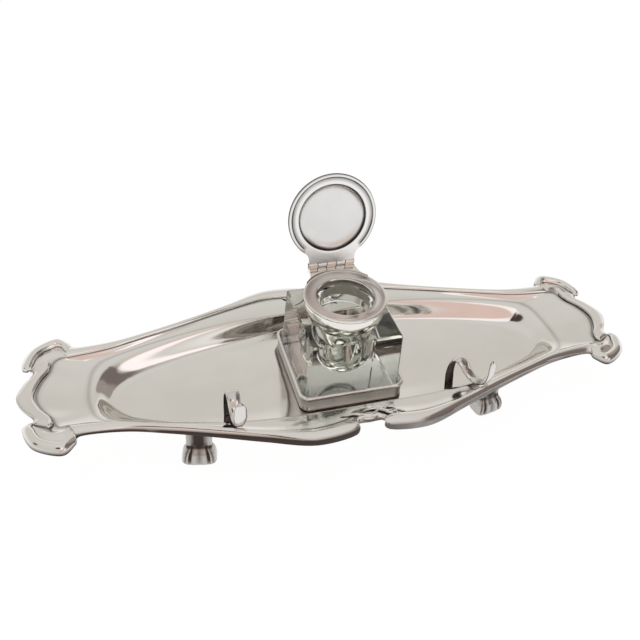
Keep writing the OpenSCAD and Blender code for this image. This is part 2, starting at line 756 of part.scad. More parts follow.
// Flared strap of the lid with its two knuckles
module lid_hinge() {
    clear = knuckle_radius + 0.3;
    front = hinge_back - clear;
    thick = lid_ring - lid_face;
    color("silver") swung_open() {
        translate([0, 0, lid_face])
            linear_extrude(thick)
                difference() {
                    flared_neck(front, lid_radius, lid_neck, lid_flare);
                    circle(lid_radius + 0.05);
                }
        for (i = [1 : 2 : knuckles - 1]) {
            translate([0, hinge_back, hinge_up - lid_gap]) knuckle(i);
            difference() {
                translate([knuckle_x(i), front - 0.2, lid_face])
                    cube([knuckle_length, clear + 0.2, thick]);
                translate([knuckle_x(i) - 1, hinge_back, hinge_up - lid_gap])
                    rotate([0, 90, 0])
                        cylinder(r = (knuckle_radius + pin_radius) / 2, h = knuckle_length + 2);
            }
        }
    }
}

// One quarter piece mirrored to its side: left or right, front or back
module placed(left, front) {
    mirror([left ? 1 : 0, 0, 0])
        mirror([0, front ? 1 : 0, 0])
            children();
}

tray_pan();
placed(true, true) border();  // border_front_left
placed(false, true) border();  // border_front_right
placed(true, false) border();  // border_back_left
placed(false, false) border();  // border_back_right
placed(true, false) end_ribbon();  // end_ribbon_left
placed(false, false) end_ribbon();  // end_ribbon_right
placed(true, true) corner_scroll();  // scroll_front_left
placed(false, true) corner_scroll();  // scroll_front_right
placed(true, false) corner_scroll();  // scroll_back_left
placed(false, false) corner_scroll();  // scroll_back_right
placed(false, true) notch_lip();  // notch_lip_front
placed(false, false) notch_lip();  // notch_lip_back
placed(true, true) foot();  // foot_front_left
placed(false, true) foot();  // foot_front_right
placed(true, false) foot();  // foot_back_left
placed(false, false) foot();  // foot_back_right
placed(true, true) pen_rest(left_rest_station, left_rest_turn);  // pen_rest_left
placed(false, true) pen_rest(right_rest_station, right_rest_turn);  // pen_rest_right
gallery();
glass_bottle();
plaster_ring();
collar();
collar_hinge();
hinge_pin();
lid_dome();
lid_bezel();
lid_hinge();
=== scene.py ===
import math
import bpy
import bmesh
import numpy as np
from mathutils import Matrix, Vector
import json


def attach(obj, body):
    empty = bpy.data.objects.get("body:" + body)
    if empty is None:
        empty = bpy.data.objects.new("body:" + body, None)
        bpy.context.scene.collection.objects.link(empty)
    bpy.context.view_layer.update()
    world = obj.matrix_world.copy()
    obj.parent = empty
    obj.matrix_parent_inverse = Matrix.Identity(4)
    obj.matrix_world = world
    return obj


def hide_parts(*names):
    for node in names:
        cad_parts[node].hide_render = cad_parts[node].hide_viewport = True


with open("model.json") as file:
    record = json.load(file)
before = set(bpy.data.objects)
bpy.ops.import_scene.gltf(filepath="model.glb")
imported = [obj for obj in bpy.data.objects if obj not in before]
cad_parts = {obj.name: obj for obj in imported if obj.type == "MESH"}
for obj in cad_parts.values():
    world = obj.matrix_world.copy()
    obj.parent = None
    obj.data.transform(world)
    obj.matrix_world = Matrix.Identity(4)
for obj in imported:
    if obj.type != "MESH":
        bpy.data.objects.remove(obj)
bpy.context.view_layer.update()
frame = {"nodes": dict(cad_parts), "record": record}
print("frame loaded:", len(frame["nodes"]), "pieces")

mm = 0.001


def inScene(name, data):
    obj = bpy.data.objects.new(name, data)
    bpy.context.scene.collection.objects.link(obj)
    return obj


# Camera
camera = {
    "place": (-0.109332, -0.268951, 0.291537),
    "right": (0.9564, -0.2830, 0.0718),
    "down": (-0.1292, -0.6308, -0.7651),
    "forward": (0.2618, 0.7225, -0.6399),
    "lens": 42.87,
    "sensor": 36.0,
}


def makeCamera(c):
    data = bpy.data.cameras.new("camera")
    data.lens, data.sensor_width = c["lens"], c["sensor"]
    data.clip_start, data.clip_end = 0.01, 20
    cam = inScene("camera", data)
    turn = Matrix([c["right"], [-v for v in c["down"]], [-v for v in c["forward"]]]).transposed()
    cam.matrix_world = Matrix.Translation(c["place"]) @ turn.to_4x4()
    bpy.context.scene.camera = cam


makeCamera(camera)

# Shapes of the tray
# One quarter of each long curve, from the middle of a long side to the end.
# Along the side a row is share of half length, share of half width, height.
# Around the end it is distance from the end over the scroll group, share, height.
tray = {
    "length": 312.0, "width": 111.0, "endWidth": 74.6, "scrollLength": 28.0,
    "wellLength": 248.0, "wellWidth": 73.0, "floorLength": 225.0, "floorWidth": 70.6,
    "footHeight": 17.3, "sheet": 1.2, "wellDepth": 10.0, "flangeRise": 2.5,
    "tipFall": 4.5, "wallRoll": 0.72, "flangeSag": 0.5, "tongueRise": 1.7,
    "solder": 0.15, "lipWall": 1.0,
}
quarter = 16
perStation = 8
edgeSide = [(0, .862, 0), (.037, .867, 0), (.055, .955, 0), (.179, .979, -.4),
            (.321, .843, -1), (.455, .716, -.9), (.59, .6, -.7), (.705, .528, -.3)]
edgeEnd = [(.979, .756, 0), (.875, .858, 0), (.679, .973, 0), (.345, .858, -.2),
           (.193, .708, -.5), (.139, .52, -.7), (.286, .413, -.9), (.104, .214, -1.3),
           (0, 0, -1.5)]
creaseSide = [(0, .776, 0), (.038, .787, 0), (.068, .836, 0), (.179, .868, -.4),
              (.321, .782, -1), (.455, .665, -.7), (.59, .555, -.5), (.718, .449, -.1)]
creaseEnd = [(.893, .606, 0), (.793, .614, 0), (.7, .603, -.1), (.632, .579, -.4),
             (.596, .544, -.6), (.575, .499, -.8), (.529, .394, -1), (.379, .228, -1.2),
             (.282, 0, -1.5)]
wellEdge = [(0, 1, 0), (.06, 1, 0), (.113, 1, 0), (.226, .997, 0), (.387, .981, 0),
            (.565, .899, 0), (.726, .784, .04), (.858, .66, .1), (.928, .58, .2),
            (.945, .545, .28), (.959, .505, .37), (.971, .457, .47), (.98, .402, .58),
            (.987, .34, .69), (.992, .263, .8), (.998, .14, .94), (1, 0, 1)]
floorEdge = [(0, 1, 0), (.053, 1, 0), (.107, .998, 0), (.213, .989, 0), (.391, .873, 0),
             (.56, .731, 0), (.729, .572, 0), (.86, .42, 0), (.912, .325, 0),
             (.927, .286, 0), (.941, .247, 0), (.954, .206, 0), (.966, .166, 0),
             (.977, .13, 0), (.986, .098, 0), (.995, .055, 0), (1, 0, 0)]

floorZ = tray["footHeight"] + tray["sheet"]
wellZ = floorZ + tray["wellDepth"]
rimZ = wellZ + tray["flangeRise"]


def allRound(q):
    q = np.array(q, float)
    back = [1, -1, 1]
    return np.concatenate([q, q[-2::-1] * back, q[1:] * [-1, -1, 1], q[-2:0:-1] * [-1, 1, 1]])


def rimCurve(side, end):
    t = tray
    rows = [(x * t["length"] / 2, y * t["width"] / 2, rimZ + z) for x, y, z in side]
    rows += [(t["length"] / 2 - x * t["scrollLength"], y * t["endWidth"] / 2, rimZ + z) for x, y, z in end]
    return allRound(rows)


def panCurve(rows, length, width, z, fall):
    return allRound([(x * length / 2, y * width / 2, z - fall * f) for x, y, f in rows])


def splinePoint(a, b, c, d, f):
    # Catmull-Rom curve from b to c, at share f
    square = (2 * a - 5 * b + 4 * c - d) * f ** 2
    cube = (3 * b - a - 3 * c + d) * f ** 3
    return 0.5 * (2 * b + (c - a) * f + square + cube)


def curveAt(p, t):
    # closed curve through the points p, at stations t
    t = np.asarray(t, float)
    n = len(p)
    i = np.floor(t).astype(int)
    return splinePoint(*(p[(i + k) % n] for k in (-1, 0, 1, 2)), (t - i)[..., None])


edgeLine = rimCurve(edgeSide, edgeEnd)
creaseLine = rimCurve(creaseSide, creaseEnd)
wellLine = panCurve(wellEdge, tray["wellLength"], tray["wellWidth"], wellZ, tray["tipFall"])
floorLine = panCurve(floorEdge, tray["floorLength"], tray["floorWidth"], floorZ, 0)


def ramp(x, a, b):
    f = np.clip((np.asarray(x, float) - a) / (b - a), 0, 1)
    return f * f * (3 - 2 * f)


def mix(a, b, f):
    return a + (b - a) * f


def bump(x):
    return np.where(np.abs(x) < 1, (1 - np.clip(np.abs(x), 0, 1) ** 2) ** 2, 0)


def folded(t):
    m = np.mod(t, 2 * quarter)
    return np.where(m > quarter, 2 * quarter - m, m)


def tongue(t, f):
    k = folded(t)
    middle = mix(.3, .46, ramp(k, 9.5, 11.5))
    return tray["tongueRise"] * bump((k - 10.7) / 2) * bump((f - middle) / .17)


def up(z):
    z = np.asarray(z, float)
    return np.stack([z * 0, z * 0, z], -1)


def stripAt(t, f):
    t, f = np.broadcast_arrays(np.asarray(t, float), np.asarray(f, float))
    return mix(curveAt(creaseLine, t), curveAt(edgeLine, t), f[..., None]) + up(tongue(t, f))


def panAt(t, s):
    # s runs 0 to 1 up the wall, 1 to 2 across the flange, 2 to 3 under the border
    t, s = np.broadcast_arrays(np.asarray(t, float), np.asarray(s, float))
    low, high = curveAt(floorLine, t), curveAt(wellLine, t)
    crease = curveAt(creaseLine, t)
    f = np.clip(s, 0, 1)
    wall = mix(low, high, f[..., None])
    share = f - tray["wallRoll"] * np.sin(2 * np.pi * f) / (2 * np.pi)
    wall[..., 2] = mix(low[..., 2], high[..., 2], share)
    g = np.clip(s - 1, 0, 1)
    flange = mix(high, crease, g[..., None]) - up(tray["flangeSag"] * np.sin(np.pi * g))
    strip = stripAt(t, np.clip(s - 2, 0, 1))
    s = s[..., None]
    return np.where(s <= 1, wall, np.where(s <= 2, flange, strip))


# Mesh helpers
def meshObject(name, verts, faces, smooth=True):
    mesh = bpy.data.meshes.new(name)
    mesh.from_pydata([tuple(v) for v in np.asarray(verts) * mm], [], faces)
    mesh.update()
    if smooth:
        mesh.polygons.foreach_set("use_smooth", [True] * len(mesh.polygons))
    return inScene(name, mesh)


def setTarnishShade(obj, values):
    # tarnish and painted shade at each vertex, read by the silver material: darker in creases, between parts,
    # under overhangs and as painted dark reflections on outer faces
    layer = obj.data.attributes.new("wear", "FLOAT", "POINT")
    layer.data.foreach_set("value", np.ascontiguousarray(values, dtype=np.float32).ravel())


def skinFaces(count, n):
    faces = []
    for k in range(count - 1):
        for i in range(n):
            j = (i + 1) % n
            faces.append((k * n + i, k * n + j, (k + 1) * n + j, (k + 1) * n + i))
    return faces


def skinObject(name, rings, sharpAngle=40):
    # closed skin between rings of equal length, capped at both ends
    rings = np.asarray(rings)
    count, n = rings.shape[:2]
    faces = skinFaces(count, n) + [tuple(range(n - 1, -1, -1)), tuple(range((count - 1) * n, count * n))]
    return outward(meshObject(name, rings.reshape(-1, 3), faces), sharpAngle)


def ringStack(name, rings, sharpAngle):
    # skin of a hollow ring: the last ring of points joins the first one
    rings = np.asarray(rings)
    count, n = rings.shape[:2]
    faces = [tuple(v % (count * n) for v in f) for f in skinFaces(count + 1, n)]
    return outward(meshObject(name, rings.reshape(-1, 3), faces), sharpAngle)


def circles(profile, around):
    # one ring of points for each row of radius and height
    a = 2 * np.pi * np.arange(around) / around
    return np.array([np.stack([r * np.cos(a), r * np.sin(a), a * 0 + z], 1) for r, z in profile])


def turned(points, angle):
    # points turned about the vertical axis
    c, sn = math.cos(angle), math.sin(angle)
    x, y, z = np.moveaxis(points, -1, 0)
    return np.stack([x * c - y * sn, x * sn + y * c, z], -1)


def smoothPath(points, steps):
    # open curve through rows of any width
    p = np.asarray(points, float)
    p = np.concatenate([[2 * p[0] - p[1]], p, [2 * p[-1] - p[-2]]])
    t = np.linspace(0, len(p) - 3, (len(p) - 3) * steps + 1)
    i = np.minimum(t.astype(int), len(p) - 4)
    return splinePoint(p[i], p[i + 1], p[i + 2], p[i + 3], (t - i)[:, None])


def outward(obj, sharpAngle=0):
    # turns the faces outwards and marks the edges that bend by more than the angle
    b = bmesh.new()
    b.from_mesh(obj.data)
    bmesh.ops.recalc_face_normals(b, faces=b.faces)
    b.to_mesh(obj.data)
    b.free()
    if sharpAngle:
        obj.data.set_sharp_from_angle(angle=math.radians(sharpAngle))
    return obj


def gaussSmooth(a, sigma, axis, closed):
    # Gaussian blur along one axis of a grid of points
    r = int(3 * sigma) + 1
    k = np.exp(-0.5 * (np.arange(-r, r + 1) / sigma) ** 2)
    k /= k.sum()
    pad = [(0, 0)] * a.ndim
    pad[axis] = (r, r)
    p = np.pad(a, pad, mode="wrap" if closed else "reflect", **({} if closed else {"reflect_type": "odd"}))
    return np.apply_along_axis(lambda v: np.convolve(v, k, mode="valid"), axis, p)


# Node helpers
def setInputs(tree, node, inputs):
    # an input gets its value, or a link where that is another node's output
    for key, value in inputs.items():
        if isinstance(value, bpy.types.NodeSocket):
            tree.links.new(value, node.inputs[key])
        else:
            node.inputs[key].default_value = value
    return node


def newNode(tree, kind, inputs, **settings):
    # settings are the node's own choices, such as its operation
    node = tree.nodes.new(kind)
    for key, value in settings.items():
        setattr(node, key, value)
    return setInputs(tree, node, inputs)


def calc(tree, operation, a, b, clamp=False):
    node = newNode(tree, "ShaderNodeMath", {0: a, 1: b}, operation=operation, use_clamp=clamp)
    return node.outputs["Value"]


def newTree(name, kind, inputs, outputs):
    # inputs and outputs are dictionaries of names and kinds of socket
    tree = bpy.data.node_groups.new(name, kind)
    for way, sockets in (("INPUT", inputs), ("OUTPUT", outputs)):
        for label, sort in sockets.items():
            tree.interface.new_socket(label, in_out=way, socket_type="NodeSocket" + sort)
    return tree, tree.nodes.new("NodeGroupInput"), tree.nodes.new("NodeGroupOutput")


def endTree(tree, geometry, material, out):
    real = newNode(tree, "GeometryNodeRealizeInstances", {"Geometry": geometry})
    paint = newNode(tree, "GeometryNodeSetMaterial", {
        "Geometry": real.outputs["Geometry"], "Material": material})
    setInputs(tree, out, {"Geometry": paint.outputs["Geometry"]})


def nodesToMesh(name, tree, values):
    # evaluates a node tree once on an empty mesh, with values by input name, and keeps the plain result
    carrier = inScene(name + "Carrier", bpy.data.meshes.new(name + "Carrier"))
    modifier = carrier.modifiers.new("nodes", "NODES")
    modifier.node_group = tree
    for socket in tree.interface.items_tree:
        if socket.in_out == "INPUT" and socket.name in values:
            modifier[socket.identifier] = values[socket.name]
    bpy.context.view_layer.update()
    mesh = bpy.data.meshes.new_from_object(carrier.evaluated_get(bpy.context.evaluated_depsgraph_get()))
    mesh.name = name
    bpy.data.objects.remove(carrier)
    return inScene(name, mesh)


print("outline ready")


# Tray pan
def makePan():
    t = np.arange(0, 4 * quarter, 1 / perStation)
    s = np.concatenate([np.linspace(0, 1, 19), np.linspace(1, 2, 15)[1:], np.linspace(2, 3, 17)[1:]])
    top = panAt(t[None, :], s[:, None])
    top = gaussSmooth(top, 0.22 * perStation, 1, True)
    mid = gaussSmooth(top, 1.2, 0, False)
    top[1:-1] = mid[1:-1]
    along = np.roll(top, -1, 1) - np.roll(top, 1, 1)
    out = np.gradient(top, axis=0)
    normal = np.cross(along, out)
    normal /= np.linalg.norm(normal, axis=-1, keepdims=True)
    normal[0] = (0, 0, 1)
    under = (top - tray["sheet"] * normal)[[0, 3, 6, 9, 12, 15, 18, 21, 25, 32, 38, 44, len(s) - 1]]
    obj = skinObject("trayPan", np.concatenate([under, top[::-1]]), 50)
    # painted shade along the crease under the border, and a fainter painted dark line along the well's top
    # edge
    lines = bump((s - 2) / .09) * .8 + bump((s - 1) / .1) * .35
    wear = np.concatenate([np.zeros(len(under)), lines[::-1]])
    setTarnishShade(obj, np.repeat(wear, len(t)))
    return obj


# Mouldings
border = {"rise": 1.5, "drop": 3.2, "lobe": 1.6, "join": 8.45,
          # share by which a border's outer face is painted darker, as shade and dark reflection
          "outerShade": {"border_front_left": 1.35}}
scroll = {"rise": 2.0, "drop": 2.4, "start": 8.55, "hook": 13.4}
ribbon = {"rise": 1.9, "end": 11.9}
notchLip = {"rise": 1.1, "drop": 1.6, "end": 1.3}


def crown(u):
    return np.sin(np.pi * u ** .85) ** .7


def rolledSection(t, a, rise, drop):
    # lies on the strip from share a outwards and turns down outside the sheet
    t = np.asarray(t, float)
    e = curveAt(edgeLine, t)
    out = e - curveAt(creaseLine, t)
    out[..., 2] = 0
    out /= np.linalg.norm(out, axis=-1, keepdims=True)
    solder, wall = tray["solder"], tray["lipWall"]
    toe = stripAt(t, a) + up(solder)
    brow = e + out * (solder + wall)
    rise, drop = np.asarray(rise, float)[..., None], np.asarray(drop, float)[..., None]
    z = np.array([0, 0, 1.0])
    ring = [e + out * solder + solder * z, toe, toe + .15 * z]
    for u in np.linspace(.06, .94, 15):
        ring.append(mix(toe, brow, u) + (.15 + rise * crown(u)) * z)
    ring += [brow + .15 * rise * z, brow - .35 * drop * z, brow - .7 * drop * z,
             brow - .1 * out - drop * z, e + out * solder - drop * z]
    return np.stack(ring, 1)


def laidSection(t, a, b, rise):
    inner, outer = stripAt(t, a) + up(tray["solder"]), stripAt(t, b) + up(tray["solder"])
    rise = np.asarray(rise, float)[..., None]
    z = np.array([0, 0, 1.0])
    ring = [inner, inner + .25 * rise * z]
    for u in np.linspace(.06, .94, 15):
        ring.append(mix(inner, outer, u) + (.25 + .75 * crown(u)) * rise * z)
    ring += [outer + .25 * rise * z, outer]
    return np.stack(ring, 1)


def mirrored(rings, left, front):
    return rings * [-1 if left else 1, -1 if front else 1, 1]


def stations(a, b, step=.125):
    return np.linspace(a, b, int(round((b - a) / step)) + 1)


def borderRings():
    b = border
    t = stations(b["lobe"], b["join"])
    grown, thin = ramp(t, b["lobe"] - .25, 2.3), ramp(t, 3, b["join"])
    drop = b["drop"] * mix(1, .2, thin) * mix(.6, 1, grown)
    return rolledSection(t, mix(.7, .02, grown), b["rise"] * mix(.45, 1, grown), drop)


def scrollRings():
    s = scroll
    t = stations(s["start"], s["hook"], .1)
    body, tip = ramp(t, border["join"], 10), ramp(t, 12.4, s["hook"] + .15)
    a = mix(mix(.35, .66, body), .8, tip)
    rise = s["rise"] * mix(.6, 1, body) * mix(1, .45, tip)
    return rolledSection(t, a, rise, s["drop"] * mix(.5, 1, body) * mix(1, .35, tip))


def ribbonRings():
    t = stations(ribbon["end"], 2 * quarter - ribbon["end"], .1)
    k = folded(t)
    body, spread = ramp(k, ribbon["end"] - .15, 12.6), ramp(k, 12.2, 14)
    outer = mix(.24, .3, body) + .69 * spread
    return laidSection(t, mix(.12, .01, body), outer, ribbon["rise"] * mix(.5, 1, body))


def notchRings():
    t = stations(-notchLip["end"], notchLip["end"], .1)
    body = ramp(-np.abs(t), -notchLip["end"] - .2, -notchLip["end"] + .7)
    drop = notchLip["drop"] * mix(.3, 1, body)
    return rolledSection(t, mix(.75, .45, body), notchLip["rise"] * mix(.4, 1, body), drop)


sides = {"front_left": (True, True), "front_right": (False, True),
         "back_left": (True, False), "back_right": (False, False)}


def moulding(name, rings):
    obj = skinObject(name + "Skin", rings)
    n = rings.shape[1]
    # painted shade where each moulding meets the tray, and painted shade and dark reflection down its outer
    # side
    depth = np.zeros(n)
    depth[[0, 1, 2]] = .9, .55, .15
    if name.startswith("end"):
        depth[-4:] = .1, .2, .4, .6
    elif name.startswith("scroll"):
        depth[-6:] = .1, .3, .6, .9, 1, 1
    else:
        depth[-7:] = .15, .4, .75, .8, .8, .85, .9
        depth[-7:] *= border["outerShade"].get(name, 1)
    setTarnishShade(obj, np.tile(depth, len(rings)))
    return obj


def makeMouldings():
    made = {}
    for name, (left, front) in sides.items():
        for piece, rings in (("border_", borderRings()), ("scroll_", scrollRings())):
            made[piece + name] = moulding(piece + name, mirrored(rings, left, front))
    for name, left in (("left", True), ("right", False)):
        made["end_ribbon_" + name] = moulding("end_ribbon_" + name, mirrored(ribbonRings(), left, False))
    for name, front in (("front", True), ("back", False)):
        made["notch_lip_" + name] = moulding("notch_lip_" + name, mirrored(notchRings(), False, front))
    return made


# Feet: a fluted shell toe under a plain bracket that follows the underside of the tray
foot = {
    "width": 17.0, "bracket": 12.4, "reach": 6.5, "ease": .5, "station": 5.37, "seat": .42,
    "square": .45, "sides": 128, "slices": 46,
    "rows": [(0, .94, .93, 3.6, .2), (.05, 1, 1, 3.8, .3), (.11, .97, .97, 3.4, .8),
             (.22, .95, .96, 3.1, 1), (.34, .88, .82, 2.9, 1), (.44, .79, .52, 2.7, .7),
             (.5, .74, .34, 2.6, .2), (.75, .72, .3, 2.6, 0)],
}


def grooves(u):
    return .5 * bump(u / .2) + bump((u - .55) / .16) + .6 * bump((u - .81) / .1)


def makeFoot(name, left, front):
    f = foot
    low, high = curveAt(floorLine, f["station"]), curveAt(wellLine, f["station"])
    along = curveAt(wellLine, f["station"] + .1) - curveAt(wellLine, f["station"] - .1)
    out = np.array([-along[1], along[0], 0]) / np.hypot(along[0], along[1])
    run = float((high - low) @ out)
    middle = high - out * run * (1 - f["seat"])
    table = np.array(f["rows"])
    h = np.linspace(0, .75, f["slices"])
    rows = np.stack([h] + [np.interp(h, table[:, 0], table[:, k]) for k in range(1, 5)], 1)
    rows[:, 1:] = gaussSmooth(rows[:, 1:], 1.1, 0, False)
    a = math.pi / 2 - 2 * math.pi * np.arange(f["sides"]) / f["sides"]
    c, sn = np.cos(a), np.sin(a)
    u = np.abs(c) ** f["square"]
    rise = np.abs(sn) ** f["square"]

    def ring(half, outer, inner, depth):
        reach = np.where(sn > 0, outer - depth * grooves(u), inner)
        return half * np.sign(c) * u, reach * np.sign(sn) * rise
    rings, wear = [], []
    for r in rows:
        above = float(ramp(r[0], .34, .5))
        half = mix(r[1] * f["width"] / 2, f["bracket"] / 2, above)
        x, y = ring(half, r[2] * f["reach"], r[3], 1.15 * r[4])
        rings.append(np.stack([x, y, x * 0 + r[0] * tray["footHeight"]], 1))
        # painted shade: a little over the whole foot, more in the flutes, at the joint above the toe and down
        # the middle of the bracket under the tray
        wear.append(.36 + np.where(sn > 0, .75 * np.minimum(1, grooves(u)) * min(1, r[4]), 0)
                    + bump((r[0] - .5) / .08) * .5 + ramp(r[0], .5, .6) * bump(x / 5.5) * .75)
    x, y = ring(f["bracket"] / 2, rows[-1, 2] * f["reach"], rows[-1, 3], 0)
    g = np.clip(f["seat"] + y / run, 0, 1)
    steep = 1 - tray["wallRoll"] * np.cos(2 * np.pi * g)
    z = floorZ + tray["wellDepth"] * (g - tray["wallRoll"] * np.sin(2 * np.pi * g) / (2 * np.pi))
    z -= tray["sheet"] * np.sqrt(1 + (tray["wellDepth"] / run * steep) ** 2) + f["ease"]
    last = rings[-1][:, 2]
    for k in (.34, .67, 1):
        rings.append(np.stack([x, y, mix(last, z, k)], 1))
        # painted shade on the bracket's top, most down its middle under the tray
        wear.append(.4 + bump(x / 5.5) * .75)
    placed = turned(np.array(rings), -math.atan2(out[0], out[1])) + [middle[0], middle[1], 0]
    obj = skinObject(name + "Skin", mirrored(placed, left, front), 55)
    setTarnishShade(obj, np.array(wear))
    return obj


# Pen rests: a domed strap that stands on the floor, arches, dips and ends in a leaf
rest = {
    "sheet": 1.2, "seat": .66, "arch": 7.2, "front": 18.0, "reach": 18.0, "width": 7.0, "dome": .55,
    "left": (4.5, 0), "right": (4.63, 28),
    "widths": [(0, 7), (2, 7), (3, 6.6), (4.5, 6.2), (6, 5.6), (7.4, 5), (8.4, 4.4), (9.2, 5),
               (10.2, 6.1), (11, 5.6), (11.6, 3.9), (11.9, 2), (12, .5)],
}


def makeRest(name, left):
    r = rest
    station, turn = r["left" if left else "right"]
    well, crease = curveAt(wellLine, station), curveAt(creaseLine, station)
    base = mix(well, crease, r["seat"]) - [0, 0, tray["flangeSag"] * math.sin(math.pi * r["seat"])]
    across = crease - well
    slope = across[2] / math.hypot(across[0], across[1])
    skew = abs(math.sin(math.atan2(across[0], across[1]) - math.radians(turn))) * r["width"] / 2
    low = tray["solder"] + r["sheet"] / 2 + slope * skew
    leg, arch, tall, drop = r["reach"], r["arch"], r["front"], base[2] - floorZ
    path = smoothPath([(-leg, tray["solder"] - drop), (-leg - .8, -.4 * drop), (-leg - .2, .4 * arch),
                       (-leg + 2.4, .96 * arch), (-leg + 6, .83 * arch), (-9, .44 * arch),
                       (-5.5, low + .3), (-2, low), (.3, low + 1.1), (2.2, .25 * tall),
                       (3.4, .5 * tall), (3.2, .8 * tall), (2.2, tall)], 10)
    along = np.gradient(path, axis=0)
    along /= np.linalg.norm(along, axis=1, keepdims=True)
    side = np.stack([-along[:, 1], along[:, 0]], 1)
    k = np.linspace(0, 12, len(path))
    half = np.interp(k, *np.array(r["widths"]).T) / 2
    a = 2 * np.pi * np.arange(28) / 28
    w, n = np.sign(np.cos(a)) * np.abs(np.cos(a)) ** .7, np.sign(np.sin(a)) * np.abs(np.sin(a)) ** .9
    thick = r["sheet"] / 2 * np.clip(half / 1.6, .35, 1)
    dome = r["dome"] * half / 3 * np.cos(np.pi * ramp(k, 7.6, 9))
    rings = []
    for i in range(len(path)):
        off = n * thick[i] + dome[i] * (1 - w ** 2)
        flatX, flatZ = path[i, 0] + side[i, 0] * off, path[i, 1] + side[i, 1] * off
        rings.append(np.stack([flatX, half[i] * w, flatZ], 1))
    placed = turned(np.array(rings), math.radians(90 - turn)) + base
    obj = skinObject(name + "Skin", mirrored(placed, left, True), 60)
    # painted shade: a little over the whole strap, more where it stands on the floor and dips to the flange,
    # along its edges, and on the inner face under the arch
    toe = bump(k / .6)[:, None] * .8 + bump((k - 7.6) / 1.2)[:, None] * .5
    shaded = ramp(-k, -7.4, -6)[:, None] * ramp(-n, -.1, .2)[None, :]
    setTarnishShade(obj, np.maximum(.12 + toe + np.where(np.abs(w) > .93, .6, 0)[None, :], shaded))
    return obj


# Gallery: a square band with round corners and a rolled bead along its top
gallery = {"glass": 47.4, "clear": 1.7, "band": .9, "height": 9.0, "corner": 4.5, "bead": .9}


def squareRing(side, radius, z, arc=10, straight=14):
    # square with round corners
    corners = (side / 2 - radius) * np.array([[1, 1], [-1, 1], [-1, -1], [1, -1], [1, 1]])
    points = []
    for q in range(4):
        a = np.radians(90 * q + np.linspace(0, 90, arc))
        bend = radius * np.stack([np.cos(a), np.sin(a)], 1)
        points += list(corners[q] + bend)
        shares = np.linspace(0, 1, straight + 2)[1:-1]
        points += [mix(corners[q], corners[q + 1], f) + bend[-1] for f in shares]
    return np.array([(x, y, z) for x, y in points])


def makeGallery():
    g = gallery
    inner = g["glass"] + 2 * g["clear"]
    base, top, bead = floorZ + tray["solder"], floorZ + tray["solder"] + g["height"], g["bead"]
    profile = [(0, base), (0, top - 1.2), (.1, top - .4), (.45, top - .05), (.95, top),
               (1.4, top - .2), (1.7, top - .6), (g["band"] + bead, top - 1), (1.7, top - 1.35),
               (1.35, top - 1.65), (g["band"] + .1, top - 2), (g["band"], top - 2.6),
               (g["band"], base + .9), (g["band"] + .25, base + .3), (g["band"] + .3, base)]
    rings = [squareRing(inner + 2 * d, g["corner"] - g["band"] + d, z) for d, z in profile]
    obj = ringStack("gallerySkin", rings, 50)
    # painted shade under the rolled bead and at the foot of the band, inside and out
    depth = np.array([1, 0, 0, 0, 0, 0, 0, .1, .4, .8, 1, .55, .3, .6, 1])
    setTarnishShade(obj, np.repeat(depth, rings[0].shape[0]))
    return obj


# Glass: a bevelled block with a round neck and a round-bottomed hollow
glassBlock = {
    "side": 47.4, "topSide": 46.0, "height": 37.9, "straight": 9.5, "corner": .9, "bevel": .9,
    "hollow": 14.8, "base": 6.5, "neck": 14.3, "neckHeight": 6.6, "bore": 12.2, "seat": .1,
}


def chamferRing(side, cut, z, count=24):
    h, c = side / 2, side / 2 - cut
    corners = [(h, -c), (h, c), (c, h), (-c, h), (-h, c), (-h, -c), (-c, -h), (c, -h)]
    points = []
    for k in range(0, 8, 2):
        a, b = np.array(corners[k]), np.array(corners[k + 1])
        points += [tuple(mix(a, b, f)) for f in np.linspace(0, 1, count)]
    return np.array([(x, y, z) for x, y in points])


def makeGlassBottle():
    g = glassBlock
    z0 = floorZ + g["seat"]
    square = chamferRing(1, 0, 0)
    angle = np.arctan2(square[:, 1], square[:, 0])

    def disc(r, z):
        return np.stack([r * np.cos(angle), r * np.sin(angle), angle * 0 + z0 + z], 1)
    high = g["height"]
    rings = [chamferRing(g["side"] - 1.6, g["corner"], z0), chamferRing(g["side"], g["corner"], z0 + .8),
             chamferRing(g["side"], g["corner"], z0 + g["straight"]),
             chamferRing(g["topSide"], g["corner"], z0 + high - g["bevel"]),
             chamferRing(g["topSide"] - 2 * g["bevel"], g["corner"], z0 + high)]
    rings += [disc(g["neck"] + .7, high), disc(g["neck"] + .2, high + .2), disc(g["neck"], high + .7)]
    tip = high + g["neckHeight"]
    rings += [disc(g["neck"], tip - .4), disc(g["neck"] - .4, tip), disc(g["bore"] + .4, tip),
              disc(g["bore"], tip - .4), disc(g["bore"], high - 1.5), disc(g["bore"] + .2, high - 2.2)]
    mid = g["base"] + g["hollow"]
    for q in np.linspace(0, 1, 9)[1:]:
        rings.append(disc(mix(g["bore"] + .2, g["hollow"], float(ramp(q, 0, 1))), high - 2.2 - 3.4 * q))
    rings += [disc(g["hollow"], mid + 2)]
    for q in np.radians(np.linspace(0, 87, 26)):
        rings.append(disc(g["hollow"] * math.cos(q), mid - g["hollow"] * math.sin(q)))
    return skinObject("glassBottleSkin", rings, 28)


# Collar: a bowl-shaped skirt under a dished ring
collar = {"radius": 20.4, "height": 10.6, "bore": 13.9, "foot": 18.35, "swell": 1.2, "sides": 192}
shoulderZ = floorZ + glassBlock["seat"] + glassBlock["height"]
collarZ = shoulderZ + collar["height"]


